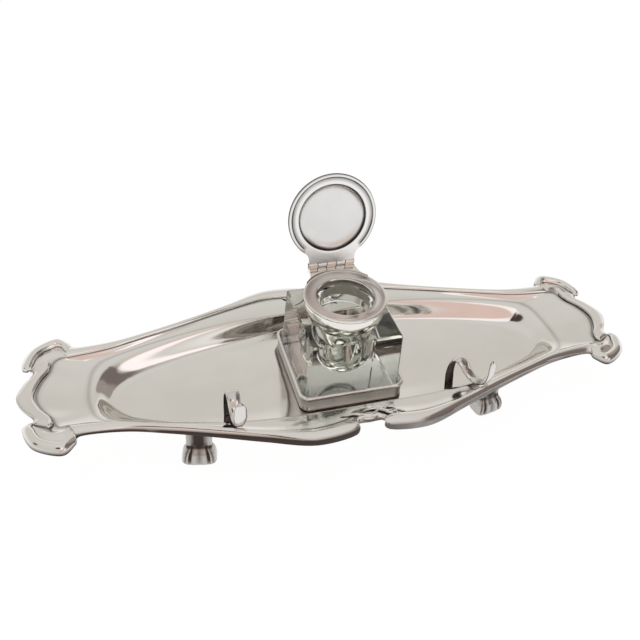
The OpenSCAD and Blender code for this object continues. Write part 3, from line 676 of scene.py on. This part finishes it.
def makeCollar():
    c = collar
    top, skirt, side = c["height"], c["foot"], c["height"] - 2.1
    profile = [(skirt - 1, .2), (skirt - .1, .2), (skirt, .35)]
    for i in range(1, 25):
        f = i / 24
        profile.append((skirt + c["swell"] * math.sin(math.pi * .88 * f), .35 + (side - .35) * f))
    profile += [(skirt + .65, side + .25), (c["radius"] - .9, top - 1.55), (c["radius"] - .3, top - 1.4),
                (c["radius"] - .05, top - 1.05), (c["radius"], top - .7), (c["radius"] - .1, top - .3),
                (c["radius"] - .45, top - .05), (c["radius"] - .9, top), (c["radius"] - 1.4, top - .1),
                (c["radius"] - 2.4, top - .38), (c["radius"] - 3.6, top - .6), (c["bore"] + 1.6, top - .78),
                (c["bore"] + .7, top - .82), (c["bore"] + .25, top - .95), (c["bore"], top - 1.3),
                (c["bore"], top - 1.85), (skirt - 1, top - 1.9)]
    profile = [(r, shoulderZ + z) for r, z in profile]
    obj = ringStack("collarSkin", circles(profile, c["sides"]), 35)
    # painted shade under the ring's overhang and where the skirt sits on the glass
    depth = [bump((z - shoulderZ - side - .3) / .7) * .8 + bump((z - shoulderZ) / .9) for r, z in profile]
    setTarnishShade(obj, np.repeat(depth, c["sides"]))
    return obj


# Hinge: knuckles repeated along the axis, a flared leaf on the collar and the lid's neck
hinge = {
    "back": 24.2, "up": 1.8, "count": 5, "length": 4.6, "gap": .2, "radius": 1.2, "pin": .55,
    "open": 102, "flare": [(0, 1), (.1, .7), (.26, .42), (.48, .2), (.74, .06), (1, 0)],
}
lid = {
    "radius": 22.3, "window": 16.9, "ring": 1.3, "sheet": .8, "gap": .3, "face": .35,
    "neck": .66, "flare": 4.2, "rise": 3.0, "bead": .35, "sides": 192,
}
leaf = {"share": .78, "flare": 8.6}
hingeZ = collarZ + hinge["up"]
hingeLength = hinge["count"] * hinge["length"] + (hinge["count"] - 1) * hinge["gap"]


def swungOpen(points):
    # closed lid coordinates, with z from the lid's lower plane, swung about the hinge axis
    p = np.asarray(points, float) + [0, -hinge["back"], -hinge["up"] + lid["gap"]]
    c, s = math.cos(math.radians(-hinge["open"])), math.sin(math.radians(-hinge["open"]))
    y, z = p[..., 1] * c - p[..., 2] * s, p[..., 1] * s + p[..., 2] * c
    return np.stack([p[..., 0], y + hinge["back"], z + hingeZ], -1)


def flareLine(radius, share, flare):
    # right side of the neck from the straight part down to the ring
    half, wide = hingeLength / 2, radius * share
    root = math.sqrt(radius ** 2 - wide ** 2)
    rows = smoothPath([(mix(half, wide, f), root + flare * g) for f, g in hinge["flare"]], 5)
    rows[:, 0] = np.maximum(rows[:, 0], half)
    return rows


def neckRings(back, radius, share, flare, levels, inside, steps=22):
    # plan of the neck in columns from left to right, each from its ring end to the hinge
    line = flareLine(radius, share, flare)
    y = np.concatenate([line[::-1, 1], [back]])
    half = np.concatenate([line[::-1, 0], [hingeLength / 2]])
    u = np.linspace(-1, 1, steps)
    grid = []
    for level in levels:
        rows = []
        for v in u:
            x = half * v
            arc = np.sqrt(np.maximum((radius - inside) ** 2 - x ** 2, 0))
            lowY = arc[0]
            f = (y - y[0]) / (y[-1] - y[0])
            rows.append(np.stack([x, np.maximum(mix(lowY, back, f), arc), x * 0 + level], 1))
        grid.append(rows)
    return np.array(grid)


def plate(name, grid):
    # closed plate between a lower and an upper sheet of points
    low, high = grid
    rows, cols = low.shape[:2]
    verts = np.concatenate([low.reshape(-1, 3), high.reshape(-1, 3)])
    n = rows * cols
    faces = []
    for i in range(rows - 1):
        for j in range(cols - 1):
            a, b, c, d = i * cols + j, i * cols + j + 1, (i + 1) * cols + j + 1, (i + 1) * cols + j
            faces += [(a, b, c, d), (n + d, n + c, n + b, n + a)]
    edge = [i * cols for i in range(rows)] + [(rows - 1) * cols + j for j in range(1, cols)]
    edge += [i * cols + cols - 1 for i in range(rows - 2, -1, -1)] + [j for j in range(cols - 2, 0, -1)]
    faces += [(a, b, n + b, n + a) for a, b in zip(edge, edge[1:] + edge[:1])]
    return outward(meshObject(name, verts, faces), 35)


def makeLidRing():
    a = 2 * np.pi * np.arange(224) / 224
    fromNeck = np.degrees(np.abs(np.angle(np.exp(1j * (a - np.pi / 2)))))
    bead = lid["bead"] * ramp(fromNeck, 40, 47)
    r, w, face, ring = lid["radius"], lid["window"], lid["face"], lid["ring"]
    rows = [(w, ring, 0), (w, .9, 0), (w + .05, .62, 0), (w + .2, .42, 0), (w + .5, face, 0),
            (w + 1.5, face, 0), (r - 2.2, face, 0), (r - 1.9, face, .1), (r - 1.6, face, .6),
            (r - 1.3, face, .95), (r - .95, face, 1), (r - .55, face, .9), (r - .25, face, .55),
            (r - .05, face, 0), (r, face + .25, 0), (r, ring - .25, 0), (r - .1, ring - .07, 0),
            (r - .35, ring, 0)]
    rings = [swungOpen(np.stack([q * np.cos(a), q * np.sin(a), z - share * bead], 1)) for q, z, share in rows]
    obj = ringStack("lidRingSkin", rings, 50)
    # painted shade on the window's inner wall, at the feet of the raised bead and on the outer edge; from the
    # bead outwards it fades out by the neck
    depth = np.array([1, 1, 1, .7, 0, 0, .6, 1, .8, .1, 0, .1, .6, 1, 1, 1, .6, .5])
    wear = np.repeat(depth[:, None], len(a), 1)
    wear[6:] *= ramp(fromNeck, 40, 47)
    setTarnishShade(obj, wear)
    return obj


def makeLidDome():
    # the recess has steep sides and a gently hollow middle
    w, sheet, seat = lid["window"], lid["sheet"], lid["ring"] + .05
    rim = lid["radius"] - .8
    inner, outer = [], []
    for f in np.linspace(0, 1, 30):
        q = math.sin(f * math.pi / 2)
        z = lid["rise"] * (1 - q ** 6) ** .5
        inner.append(((w + .02) * q, .7 + z))
        outer.append(((w + .4) * q, seat + sheet + z + .35 * (1 - q)))
    outer += [(rim - .2, seat + sheet), (rim, seat + sheet - .1), (rim, seat)]
    inner, outer = inner[1:], outer[:0:-1]
    obj = skinObject("lidDomeSkin", swungOpen(circles(inner + outer, lid["sides"])), 50)
    # painted shade around the edge of the recess where it meets the ring, and a little over the rest of the
    # recess
    depth = [max(.13, float(bump((r - w) / 1.3))) for r, z in inner] + [0] * len(outer)
    setTarnishShade(obj, np.repeat(depth, lid["sides"]))
    return obj


def knuckleMesh():
    length, r, pin = hinge["length"], hinge["radius"], hinge["pin"]
    rows = [(pin, 0), (r - .15, 0), (r, .15), (r, length - .15), (r - .15, length), (pin, length)]
    a = 2 * np.pi * np.arange(40) / 40
    rings = [np.stack([a * 0 + x, q * np.cos(a), q * np.sin(a)], 1) for q, x in rows]
    obj = ringStack("knuckleOne", rings, 40)
    # painted shade at both ends of each knuckle, in the gaps between them
    setTarnishShade(obj, np.repeat([1, 1, 0, 0, 1, 1], 40))
    return obj


def knuckleRow(name, first, count, tube, material):
    # Geometry Nodes: one tube repeated along the hinge axis at every second place
    tree, given, out = newTree(
        name + "Nodes", "GeometryNodeTree",
        {"Geometry": "Geometry", "Count": "Int", "Pitch": "Float", "Start": "Vector"},
        {"Geometry": "Geometry"})
    step = newNode(tree, "ShaderNodeCombineXYZ", {"X": given.outputs["Pitch"]})
    line = newNode(tree, "GeometryNodeMeshLine", {
        "Count": given.outputs["Count"], "Start Location": given.outputs["Start"],
        "Offset": step.outputs["Vector"]})
    source = newNode(tree, "GeometryNodeObjectInfo", {"Object": tube})
    copies = newNode(tree, "GeometryNodeInstanceOnPoints", {
        "Points": line.outputs["Mesh"], "Instance": source.outputs["Geometry"]})
    endTree(tree, copies.outputs["Instances"], material, out)
    pitch = (hinge["length"] + hinge["gap"]) * mm
    start = (first * pitch - hingeLength / 2 * mm, hinge["back"] * mm, hingeZ * mm)
    return nodesToMesh(name, tree, {"Count": count, "Pitch": 2 * pitch, "Start": start})


def leafPlate():
    # leaf under the knuckles, from the back of the collar's ring
    top, low = hingeZ - hinge["radius"] - hinge["gap"], hingeZ - hinge["up"] - 2.6
    back = hinge["back"] + hinge["radius"] * .65
    grid = neckRings(back, collar["radius"], leaf["share"], leaf["flare"], (low, top), -.05)
    return plate("collarLeaf", grid)


def neckPlate():
    front = hinge["back"] - hinge["radius"] - .1
    grid = neckRings(front, lid["radius"], lid["neck"], lid["flare"], (lid["face"], lid["ring"]), .12)
    return plate("lidNeck", swungOpen(grid))


boxFaces = ((0, 2, 3, 1), (4, 5, 7, 6), (0, 1, 5, 4), (2, 6, 7, 3), (0, 4, 6, 2), (1, 3, 7, 5))


def webs(name, first, count, low, high, near, far, swing):
    # small blocks that tie each knuckle to its plate
    verts, faces = [], []
    for k in range(count):
        x = -hingeLength / 2 + (first + 2 * k) * (hinge["length"] + hinge["gap"])
        box = [(a, b, c) for c in (low, high) for b in (near, far) for a in (x, x + hinge["length"])]
        n = len(verts)
        verts += box
        faces += [tuple(n + v for v in f) for f in boxFaces]
    return outward(meshObject(name, swungOpen(verts) if swing else np.array(verts), faces, smooth=False))


def joined(name, parts):
    b = bmesh.new()
    for part in parts:
        b.from_mesh(part.data)
        bpy.data.objects.remove(part)
    mesh = bpy.data.meshes.new(name)
    b.to_mesh(mesh)
    b.free()
    return inScene(name, mesh)


# Ornament in the notch: leaves and volutes that follow curves over the flange
ornament = {
    "curls": [
        [(-13, -42.6, .4), (-10, -43.6, .6), (-7, -44.3, .8), (-4, -45.3, .9), (-1, -46.4, 1.0),
         (2, -46.2, 1.1), (4.6, -44.7, 1.0), (6, -43.4, .7)],
        [(-2, -43.2, .35), (1, -42.9, .6), (4, -43, .9), (7, -44.4, 1.0), (9.5, -45.9, 1.0), (12, -46.2, .8),
         (14.2, -45.3, .55)],
        [(14.4, -44.2, .4), (13.2, -42.2, .7), (10.8, -41.7, .8), (8.8, -43, .8), (8.4, -45, .8),
         (9.8, -46.8, .8), (12, -46.9, .8), (13.2, -45.6, .6), (12.4, -44.4, .4), (11.2, -44.5, .3)],
        [(13.4, -47, .4), (14.6, -48.2, .9), (13.6, -49.6, 1.1), (11.8, -49.2, .6)],
        [(14.6, -45, .4), (16.4, -46.4, .7), (18, -47.2, .4)],
        [(-6, -46.6, .5), (-3.4, -48, .8), (-.4, -48.6, .9), (2.6, -48.2, .8), (5, -46.9, .5)],
    ],
    "lift": .55,
}
notchGrid = panAt(np.linspace(-2.4, 2.4, 25)[:, None], np.linspace(1, 3, 21)[None, :]).reshape(-1, 3)


def flangeHeight(x, y):
    # height of the tray's face at a point near the front notch
    away = (notchGrid[:, 0] - x) ** 2 + (notchGrid[:, 1] + y) ** 2
    return float(notchGrid[np.argmin(away), 2])


def makeOrnament(name, front, material):
    # Geometry Nodes: each curl is a line of points with its own radius, swept by a round profile
    verts, edges, radius = [], [], []
    for curl in ornament["curls"]:
        rows = smoothPath([(x, y, flangeHeight(x, y) + ornament["lift"], r) for x, y, r in curl], 7)
        n = len(verts)
        verts += [tuple(v * mm for v in row[:3]) for row in rows]
        edges += [(n + i, n + i + 1) for i in range(len(rows) - 1)]
        taper = np.sin(np.pi * np.clip(np.linspace(.04, .96, len(rows)), 0, 1)) ** .35
        radius += list(rows[:, 3] * taper)
    if not front:
        verts = [(-x, -y, z) for x, y, z in verts]
    mesh = bpy.data.meshes.new(name + "Lines")
    mesh.from_pydata(verts, edges, [])
    layer = mesh.attributes.new("curlRadius", "FLOAT", "POINT")
    layer.data.foreach_set("value", radius)
    lines = inScene(name + "Lines", mesh)
    tree, given, out = newTree(
        name + "Nodes", "GeometryNodeTree",
        {"Geometry": "Geometry", "Lines": "Object", "Thickness": "Float"}, {"Geometry": "Geometry"})
    fetch = newNode(tree, "GeometryNodeObjectInfo", {"Object": given.outputs["Lines"]})
    curve = newNode(tree, "GeometryNodeMeshToCurve", {"Mesh": fetch.outputs["Geometry"]})
    width = newNode(tree, "GeometryNodeInputNamedAttribute", {"Name": "curlRadius"}, data_type="FLOAT")
    scaled = calc(tree, "MULTIPLY", width.outputs["Attribute"], given.outputs["Thickness"])
    sized = newNode(tree, "GeometryNodeSetCurveRadius", {"Curve": curve.outputs["Curve"], "Radius": scaled})
    circle = newNode(tree, "GeometryNodeCurvePrimitiveCircle", {"Resolution": 16, "Radius": 1})
    sweep = newNode(tree, "GeometryNodeCurveToMesh", {
        "Curve": sized.outputs["Curve"], "Profile Curve": circle.outputs["Curve"], "Scale": scaled,
        "Fill Caps": True})
    # painted shade on the sides and undersides of each curl, more the further it faces away from up
    facing = newNode(tree, "GeometryNodeInputNormal", {})
    tilt = newNode(tree, "ShaderNodeSeparateXYZ", {"Vector": facing.outputs["Normal"]})
    low = newNode(tree, "ShaderNodeMapRange", {"Value": tilt.outputs["Z"], "From Min": .75, "From Max": .1})
    tarnishShadeMask = newNode(tree, "GeometryNodeStoreNamedAttribute", {
        "Geometry": sweep.outputs["Mesh"], "Name": "wear", "Value": low.outputs["Result"]},
        data_type="FLOAT", domain="POINT")
    smooth = newNode(tree, "GeometryNodeSetShadeSmooth", {"Geometry": tarnishShadeMask.outputs["Geometry"]})
    endTree(tree, smooth.outputs["Geometry"], material, out)
    obj = nodesToMesh(name, tree, {"Lines": lines, "Thickness": mm})
    bpy.data.objects.remove(lines)
    return obj


# Materials
# The silver's finish is one node group: soft tone, tarnish and painted shade in the creases and under edges,
# and a fine bump
finish = {
    "toneScale": 55, "tone": (.93, 1.03), "grainScale": 900, "grainHeight": .006, "relief": .0004,
    # near-black colour and roughness of the tarnish and painted shade
    "tarnishShadeColour": (.055, .04, .034), "tarnishShadeRough": .4,
    "silvers": {
        # name: colour, roughness, share of tarnish and painted shade, height of the waves in the sheet
        "silver": ((.85, .83, .79), .11, .8, .16),
        "border_silver": ((.86, .835, .8), .1, 1, .2),
        "foot_silver": ((.78, .76, .73), .14, 1, .3),
        "rest_silver": ((.84, .82, .79), .12, 1, .2),
        "gallery_silver": ((.82, .79, .76), .12, 1, .2),
        "collar_silver": ((.84, .81, .77), .12, .9, .12),
        "lid_silver": ((.9, .9, .89), .28, .95, .12),
        "hinge_silver": ((.78, .76, .73), .16, .8, .1),
    },
}
glassLook = {"colour": (.8, .815, .785), "ior": 1.21}
plasterLook = {"colour": (.83, .8, .73), "rough": .85, "grainScale": 400, "shade": .8}


def newMaterial(name):
    m = bpy.data.materials.new(name)
    m.use_nodes = True
    return m, m.node_tree, m.node_tree.nodes["Principled BSDF"]


def makeFinishGroup():
    tree, given, out = newTree(
        "silverFinish", "ShaderNodeTree",
        {"Colour": "Color", "Roughness": "Float", "TarnishShade": "Float", "TarnishShade Share": "Float", "Waves": "Float"},
        {"Base Color": "Color", "Roughness": "Float", "Height": "Float"})
    place = newNode(tree, "ShaderNodeTexCoord", {}).outputs["Object"]

    def noise(scale, detail):
        node = newNode(tree, "ShaderNodeTexNoise", {"Vector": place, "Scale": scale, "Detail": detail})
        return node.outputs["Fac"]

    tone, grain = noise(finish["toneScale"], 4), noise(finish["grainScale"], 2)
    low, high = finish["tone"]
    shade = newNode(tree, "ShaderNodeMapRange", {"Value": tone, "To Min": low, "To Max": high})
    grey = newNode(tree, "ShaderNodeCombineColor", {k: shade.outputs["Result"] for k in range(3)})
    clean = newNode(tree, "ShaderNodeMix", {0: 1, 6: given.outputs["Colour"], 7: grey.outputs["Color"]},
                    data_type="RGBA", blend_type="MULTIPLY")
    # mask of tarnish and painted shade, stronger where the tone is lighter, mixes the colour towards the dark
    # colour
    tarnishShadeMask = calc(tree, "MULTIPLY", given.outputs["TarnishShade"], given.outputs["TarnishShade Share"])
    tarnishShadeMask = calc(tree, "MULTIPLY", tarnishShadeMask, calc(tree, "ADD", .55, tone), clamp=True)
    colour = newNode(tree, "ShaderNodeMix", {0: tarnishShadeMask, 6: clean.outputs[2], 7: (*finish["tarnishShadeColour"], 1)},
                     data_type="RGBA")
    patchy = calc(tree, "ADD", .6, calc(tree, "MULTIPLY", tone, .8))
    patchy = calc(tree, "MULTIPLY", given.outputs["Roughness"], patchy)
    rough = newNode(tree, "ShaderNodeMix", {0: tarnishShadeMask, 2: patchy, 3: finish["tarnishShadeRough"]})
    waves = calc(tree, "MULTIPLY", tone, given.outputs["Waves"])
    height = calc(tree, "ADD", waves, calc(tree, "MULTIPLY", grain, finish["grainHeight"]))
    setInputs(tree, out, {"Base Color": colour.outputs[2], "Roughness": rough.outputs[0], "Height": height})
    return tree


def makeSilver(slot, group):
    colour, roughness, wear, waves = finish["silvers"][slot]
    m, tree, shader = newMaterial(slot)
    # reads each mesh's mask of tarnish and painted shade
    depth = newNode(tree, "ShaderNodeAttribute", {}, attribute_name="wear")
    look = newNode(tree, "ShaderNodeGroup", {
        "Colour": (*colour, 1), "Roughness": roughness, "TarnishShade": depth.outputs["Fac"], "TarnishShade Share": wear,
        "Waves": waves}, node_tree=group)
    relief = newNode(tree, "ShaderNodeBump", {"Distance": finish["relief"], "Height": look.outputs["Height"]})
    setInputs(tree, shader, {
        "Metallic": 1, "Base Color": look.outputs["Base Color"], "Roughness": look.outputs["Roughness"],
        "Normal": relief.outputs["Normal"]})
    return m


def makeGlass():
    m, tree, shader = newMaterial("clear_glass")
    setInputs(tree, shader, {"Base Color": (*glassLook["colour"], 1), "Roughness": 0,
                             "Transmission Weight": 1, "IOR": glassLook["ior"]})
    return m


def makePlaster():
    m, tree, shader = newMaterial("plaster")
    place = newNode(tree, "ShaderNodeTexCoord", {})
    grain = newNode(tree, "ShaderNodeTexNoise", {
        "Vector": place.outputs["Object"], "Scale": plasterLook["grainScale"]})
    tone = newNode(tree, "ShaderNodeValToRGB", {"Fac": grain.outputs["Fac"]})
    for stop, share in zip(tone.color_ramp.elements, (plasterLook["shade"], 1)):
        stop.color = (*[c * share for c in plasterLook["colour"]], 1)
    setInputs(tree, shader, {"Base Color": tone.outputs["Color"], "Roughness": plasterLook["rough"]})
    return m


finishGroup = makeFinishGroup()
paints = {slot: makeSilver(slot, finishGroup) for slot in finish["silvers"]}
paints["clear_glass"] = makeGlass()
paints["plaster"] = makePlaster()
slotOf = {row["node"]: row["material_slot"] for row in frame["record"]["subparts"]}
for name, obj in frame["nodes"].items():
    obj.data.materials.clear()
    obj.data.materials.append(paints[slotOf[name]])
print("materials made")


# Assembly of the finished pieces
def fit(obj, body, slot, *nodes):
    if not obj.data.materials:
        obj.data.materials.append(paints[slot])
    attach(obj, body)
    if nodes:
        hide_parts(*nodes)


fit(makePan(), "tray", "silver", "tray_pan")
for node, obj in makeMouldings().items():
    fit(obj, "tray", "border_silver", node)
for name, (left, front) in sides.items():
    fit(makeFoot("foot_" + name, left, front), "tray", "foot_silver", "foot_" + name)
fit(makeRest("pen_rest_left", True), "tray", "rest_silver", "pen_rest_left")
fit(makeRest("pen_rest_right", False), "tray", "rest_silver", "pen_rest_right")
fit(makeGallery(), "tray", "gallery_silver", "gallery")
for name, front in (("frontOrnament", True), ("backOrnament", False)):
    fit(makeOrnament(name, front, paints["border_silver"]), "tray", "border_silver")
print("tray made")
fit(makeGlassBottle(), "inkwell", "clear_glass", "glass_bottle")
fit(makeCollar(), "inkwell", "collar_silver", "collar")
tube = knuckleMesh()
collarRow = knuckleRow("collarKnuckles", 0, 3, tube, paints["collar_silver"])
lidRow = knuckleRow("lidKnuckles", 1, 2, tube, paints["lid_silver"])
bpy.data.objects.remove(tube)
back, webLow = hinge["back"], hingeZ - hinge["radius"] - hinge["gap"] - .6
collarWeb = webs("collarWebs", 0, 3, webLow, hingeZ - .3, back - .6, back + .6, False)
lidWeb = webs("lidWebs", 1, 2, lid["face"], lid["ring"], back - hinge["radius"] - .3, back - .9, True)
fit(joined("collarHinge", [leafPlate(), collarWeb, collarRow]), "inkwell", "collar_silver", "collar_hinge")
fit(joined("lidHinge", [neckPlate(), lidWeb, lidRow]), "lid", "lid_silver", "lid_hinge")
fit(makeLidRing(), "lid", "lid_silver", "lid_bezel")
fit(makeLidDome(), "lid", "lid_silver", "lid_dome")
print("inkwell and lid made")


# Floor, light and backdrop
# The room around the object, the same for every ray: pale by height, with soft patches in it.
# A patch is a direction, a colour and the angles at which it starts to fade and is gone.
studio = {
    "floor": (.9, .9, .9), "floorReach": 3.0, "floorRough": .7, "floorGloss": .2, "white": .93, "glow": 1.03,
    "lampPlace": (-.3, .2, 1.2), "lampSize": (1.2, .9), "lampPower": 5,
    "heights": [(-1, (1, 1, 1)), (0, (1, .99, .98)), (.2, (.9, .885, .87)),
                (.42, (.68, .66, .62)), (.7, (.68, .665, .63)), (1, (.74, .73, .71))],
    "patches": [  # name, direction, colour, degrees
        ("front", (.02, -.74, .63), (.8, .61, .56), 12, 32),
        ("right", (.84, -.14, .5), (.2, .165, .15), 28, 37),
        ("window", (.47, -.64, .5), (1.25, 1.14, 1.16), 6, 12),
        ("lowWindow", (.66, -.5, .56), (.9, .93, 1.0), 3, 6),
        ("upperWindow", (.0, -.52, .855), (1.12, 1.08, 1.08), 7, 12),
        ("cupboard", (.72, .28, .62), (.36, .325, .3), 12, 17),
        ("endShade", (-.82, .0, .57), (.16, .12, .12), 5, 10),
        ("doorShade", (-.33, -.4, .86), (.05, .035, .03), 7, 10),
    ],
    "clearOfHorizon": (.13, .28),  # heights between which the patches fade in
    "strength": 1.0,
}


def makeFloor():
    # white where it is seen, mirrored or seen through glass, with part of the object's shadow kept
    mesh = bpy.data.meshes.new("tableTop")
    s = studio["floorReach"]
    mesh.from_pydata([(-s, -s, 0), (s, -s, 0), (s, s, 0), (-s, s, 0)], [], [(0, 1, 2, 3)])
    m, tree, shader = newMaterial("tableTop")
    setInputs(tree, shader, {"Base Color": (*studio["floor"], 1), "Roughness": studio["floorRough"],
                             "Specular IOR Level": studio["floorGloss"]})
    white = newNode(tree, "ShaderNodeEmission", {"Color": (1, 1, 1, 1), "Strength": studio["glow"]})
    path = newNode(tree, "ShaderNodeLightPath", {})
    seen = path.outputs["Is Camera Ray"]
    for kind in ("Is Glossy Ray", "Is Transmission Ray"):
        seen = calc(tree, "MAXIMUM", seen, path.outputs[kind])
    blend = newNode(tree, "ShaderNodeMixShader", {
        "Fac": calc(tree, "MULTIPLY", seen, studio["white"]), 1: shader.outputs["BSDF"],
        2: white.outputs["Emission"]})
    setInputs(tree, tree.nodes["Material Output"], {"Surface": blend.outputs["Shader"]})
    mesh.materials.append(m)
    floor = inScene("tableTop", mesh)


def smoothStep(tree, value, start, end):
    node = newNode(tree, "ShaderNodeMapRange", {"Value": value, "From Min": start, "From Max": end},
                   interpolation_type="SMOOTHSTEP")
    return node.outputs["Result"]


def makeWorld():
    world = bpy.data.worlds.new("studio")
    bpy.context.scene.world = world
    world.use_nodes = True
    tree = world.node_tree
    way = newNode(tree, "ShaderNodeTexCoord", {}).outputs["Generated"]
    level = newNode(tree, "ShaderNodeSeparateXYZ", {"Vector": way}).outputs["Z"]
    height = newNode(tree, "ShaderNodeMapRange", {"Value": level, "From Min": -1})
    base = newNode(tree, "ShaderNodeValToRGB", {"Fac": height.outputs["Result"]})
    stops = base.color_ramp.elements
    for k, (z, shade) in enumerate(studio["heights"]):
        stop = stops[k] if k < 2 else stops.new((z + 1) / 2)
        stop.position = (z + 1) / 2
        stop.color = (*shade, 1)
    colour = base.outputs["Color"]
    high = smoothStep(tree, level, *studio["clearOfHorizon"])
    for name, centre, tint, inner, outer in studio["patches"]:
        turn = newNode(tree, "ShaderNodeVectorMath", {0: way, 1: Vector(centre).normalized()},
                       operation="DOT_PRODUCT", label=name)
        start, full = math.cos(math.radians(outer)), math.cos(math.radians(inner))
        share = calc(tree, "MULTIPLY", smoothStep(tree, turn.outputs["Value"], start, full), high)
        mixed = newNode(tree, "ShaderNodeMix", {0: share, 6: colour, 7: (*tint, 1)}, data_type="RGBA")
        colour = mixed.outputs[2]
    setInputs(tree, tree.nodes["Background"], {"Color": colour, "Strength": studio["strength"]})


def softBox(name, place, target, size, power):
    data = bpy.data.lights.new(name, "AREA")
    data.shape, data.size, data.size_y = "RECTANGLE", size[0], size[1]
    data.energy = power
    lamp = inScene(name, data)
    lamp.location = place
    lamp.rotation_euler = (Vector(target) - Vector(place)).to_track_quat("-Z", "Y").to_euler()
    lamp.visible_glossy = False


makeFloor()
makeWorld()
softBox("overheadSoft", studio["lampPlace"], (0, 0, 0), studio["lampSize"], studio["lampPower"])
bpy.context.scene.view_settings.view_transform = "Standard"
print("studio ready")
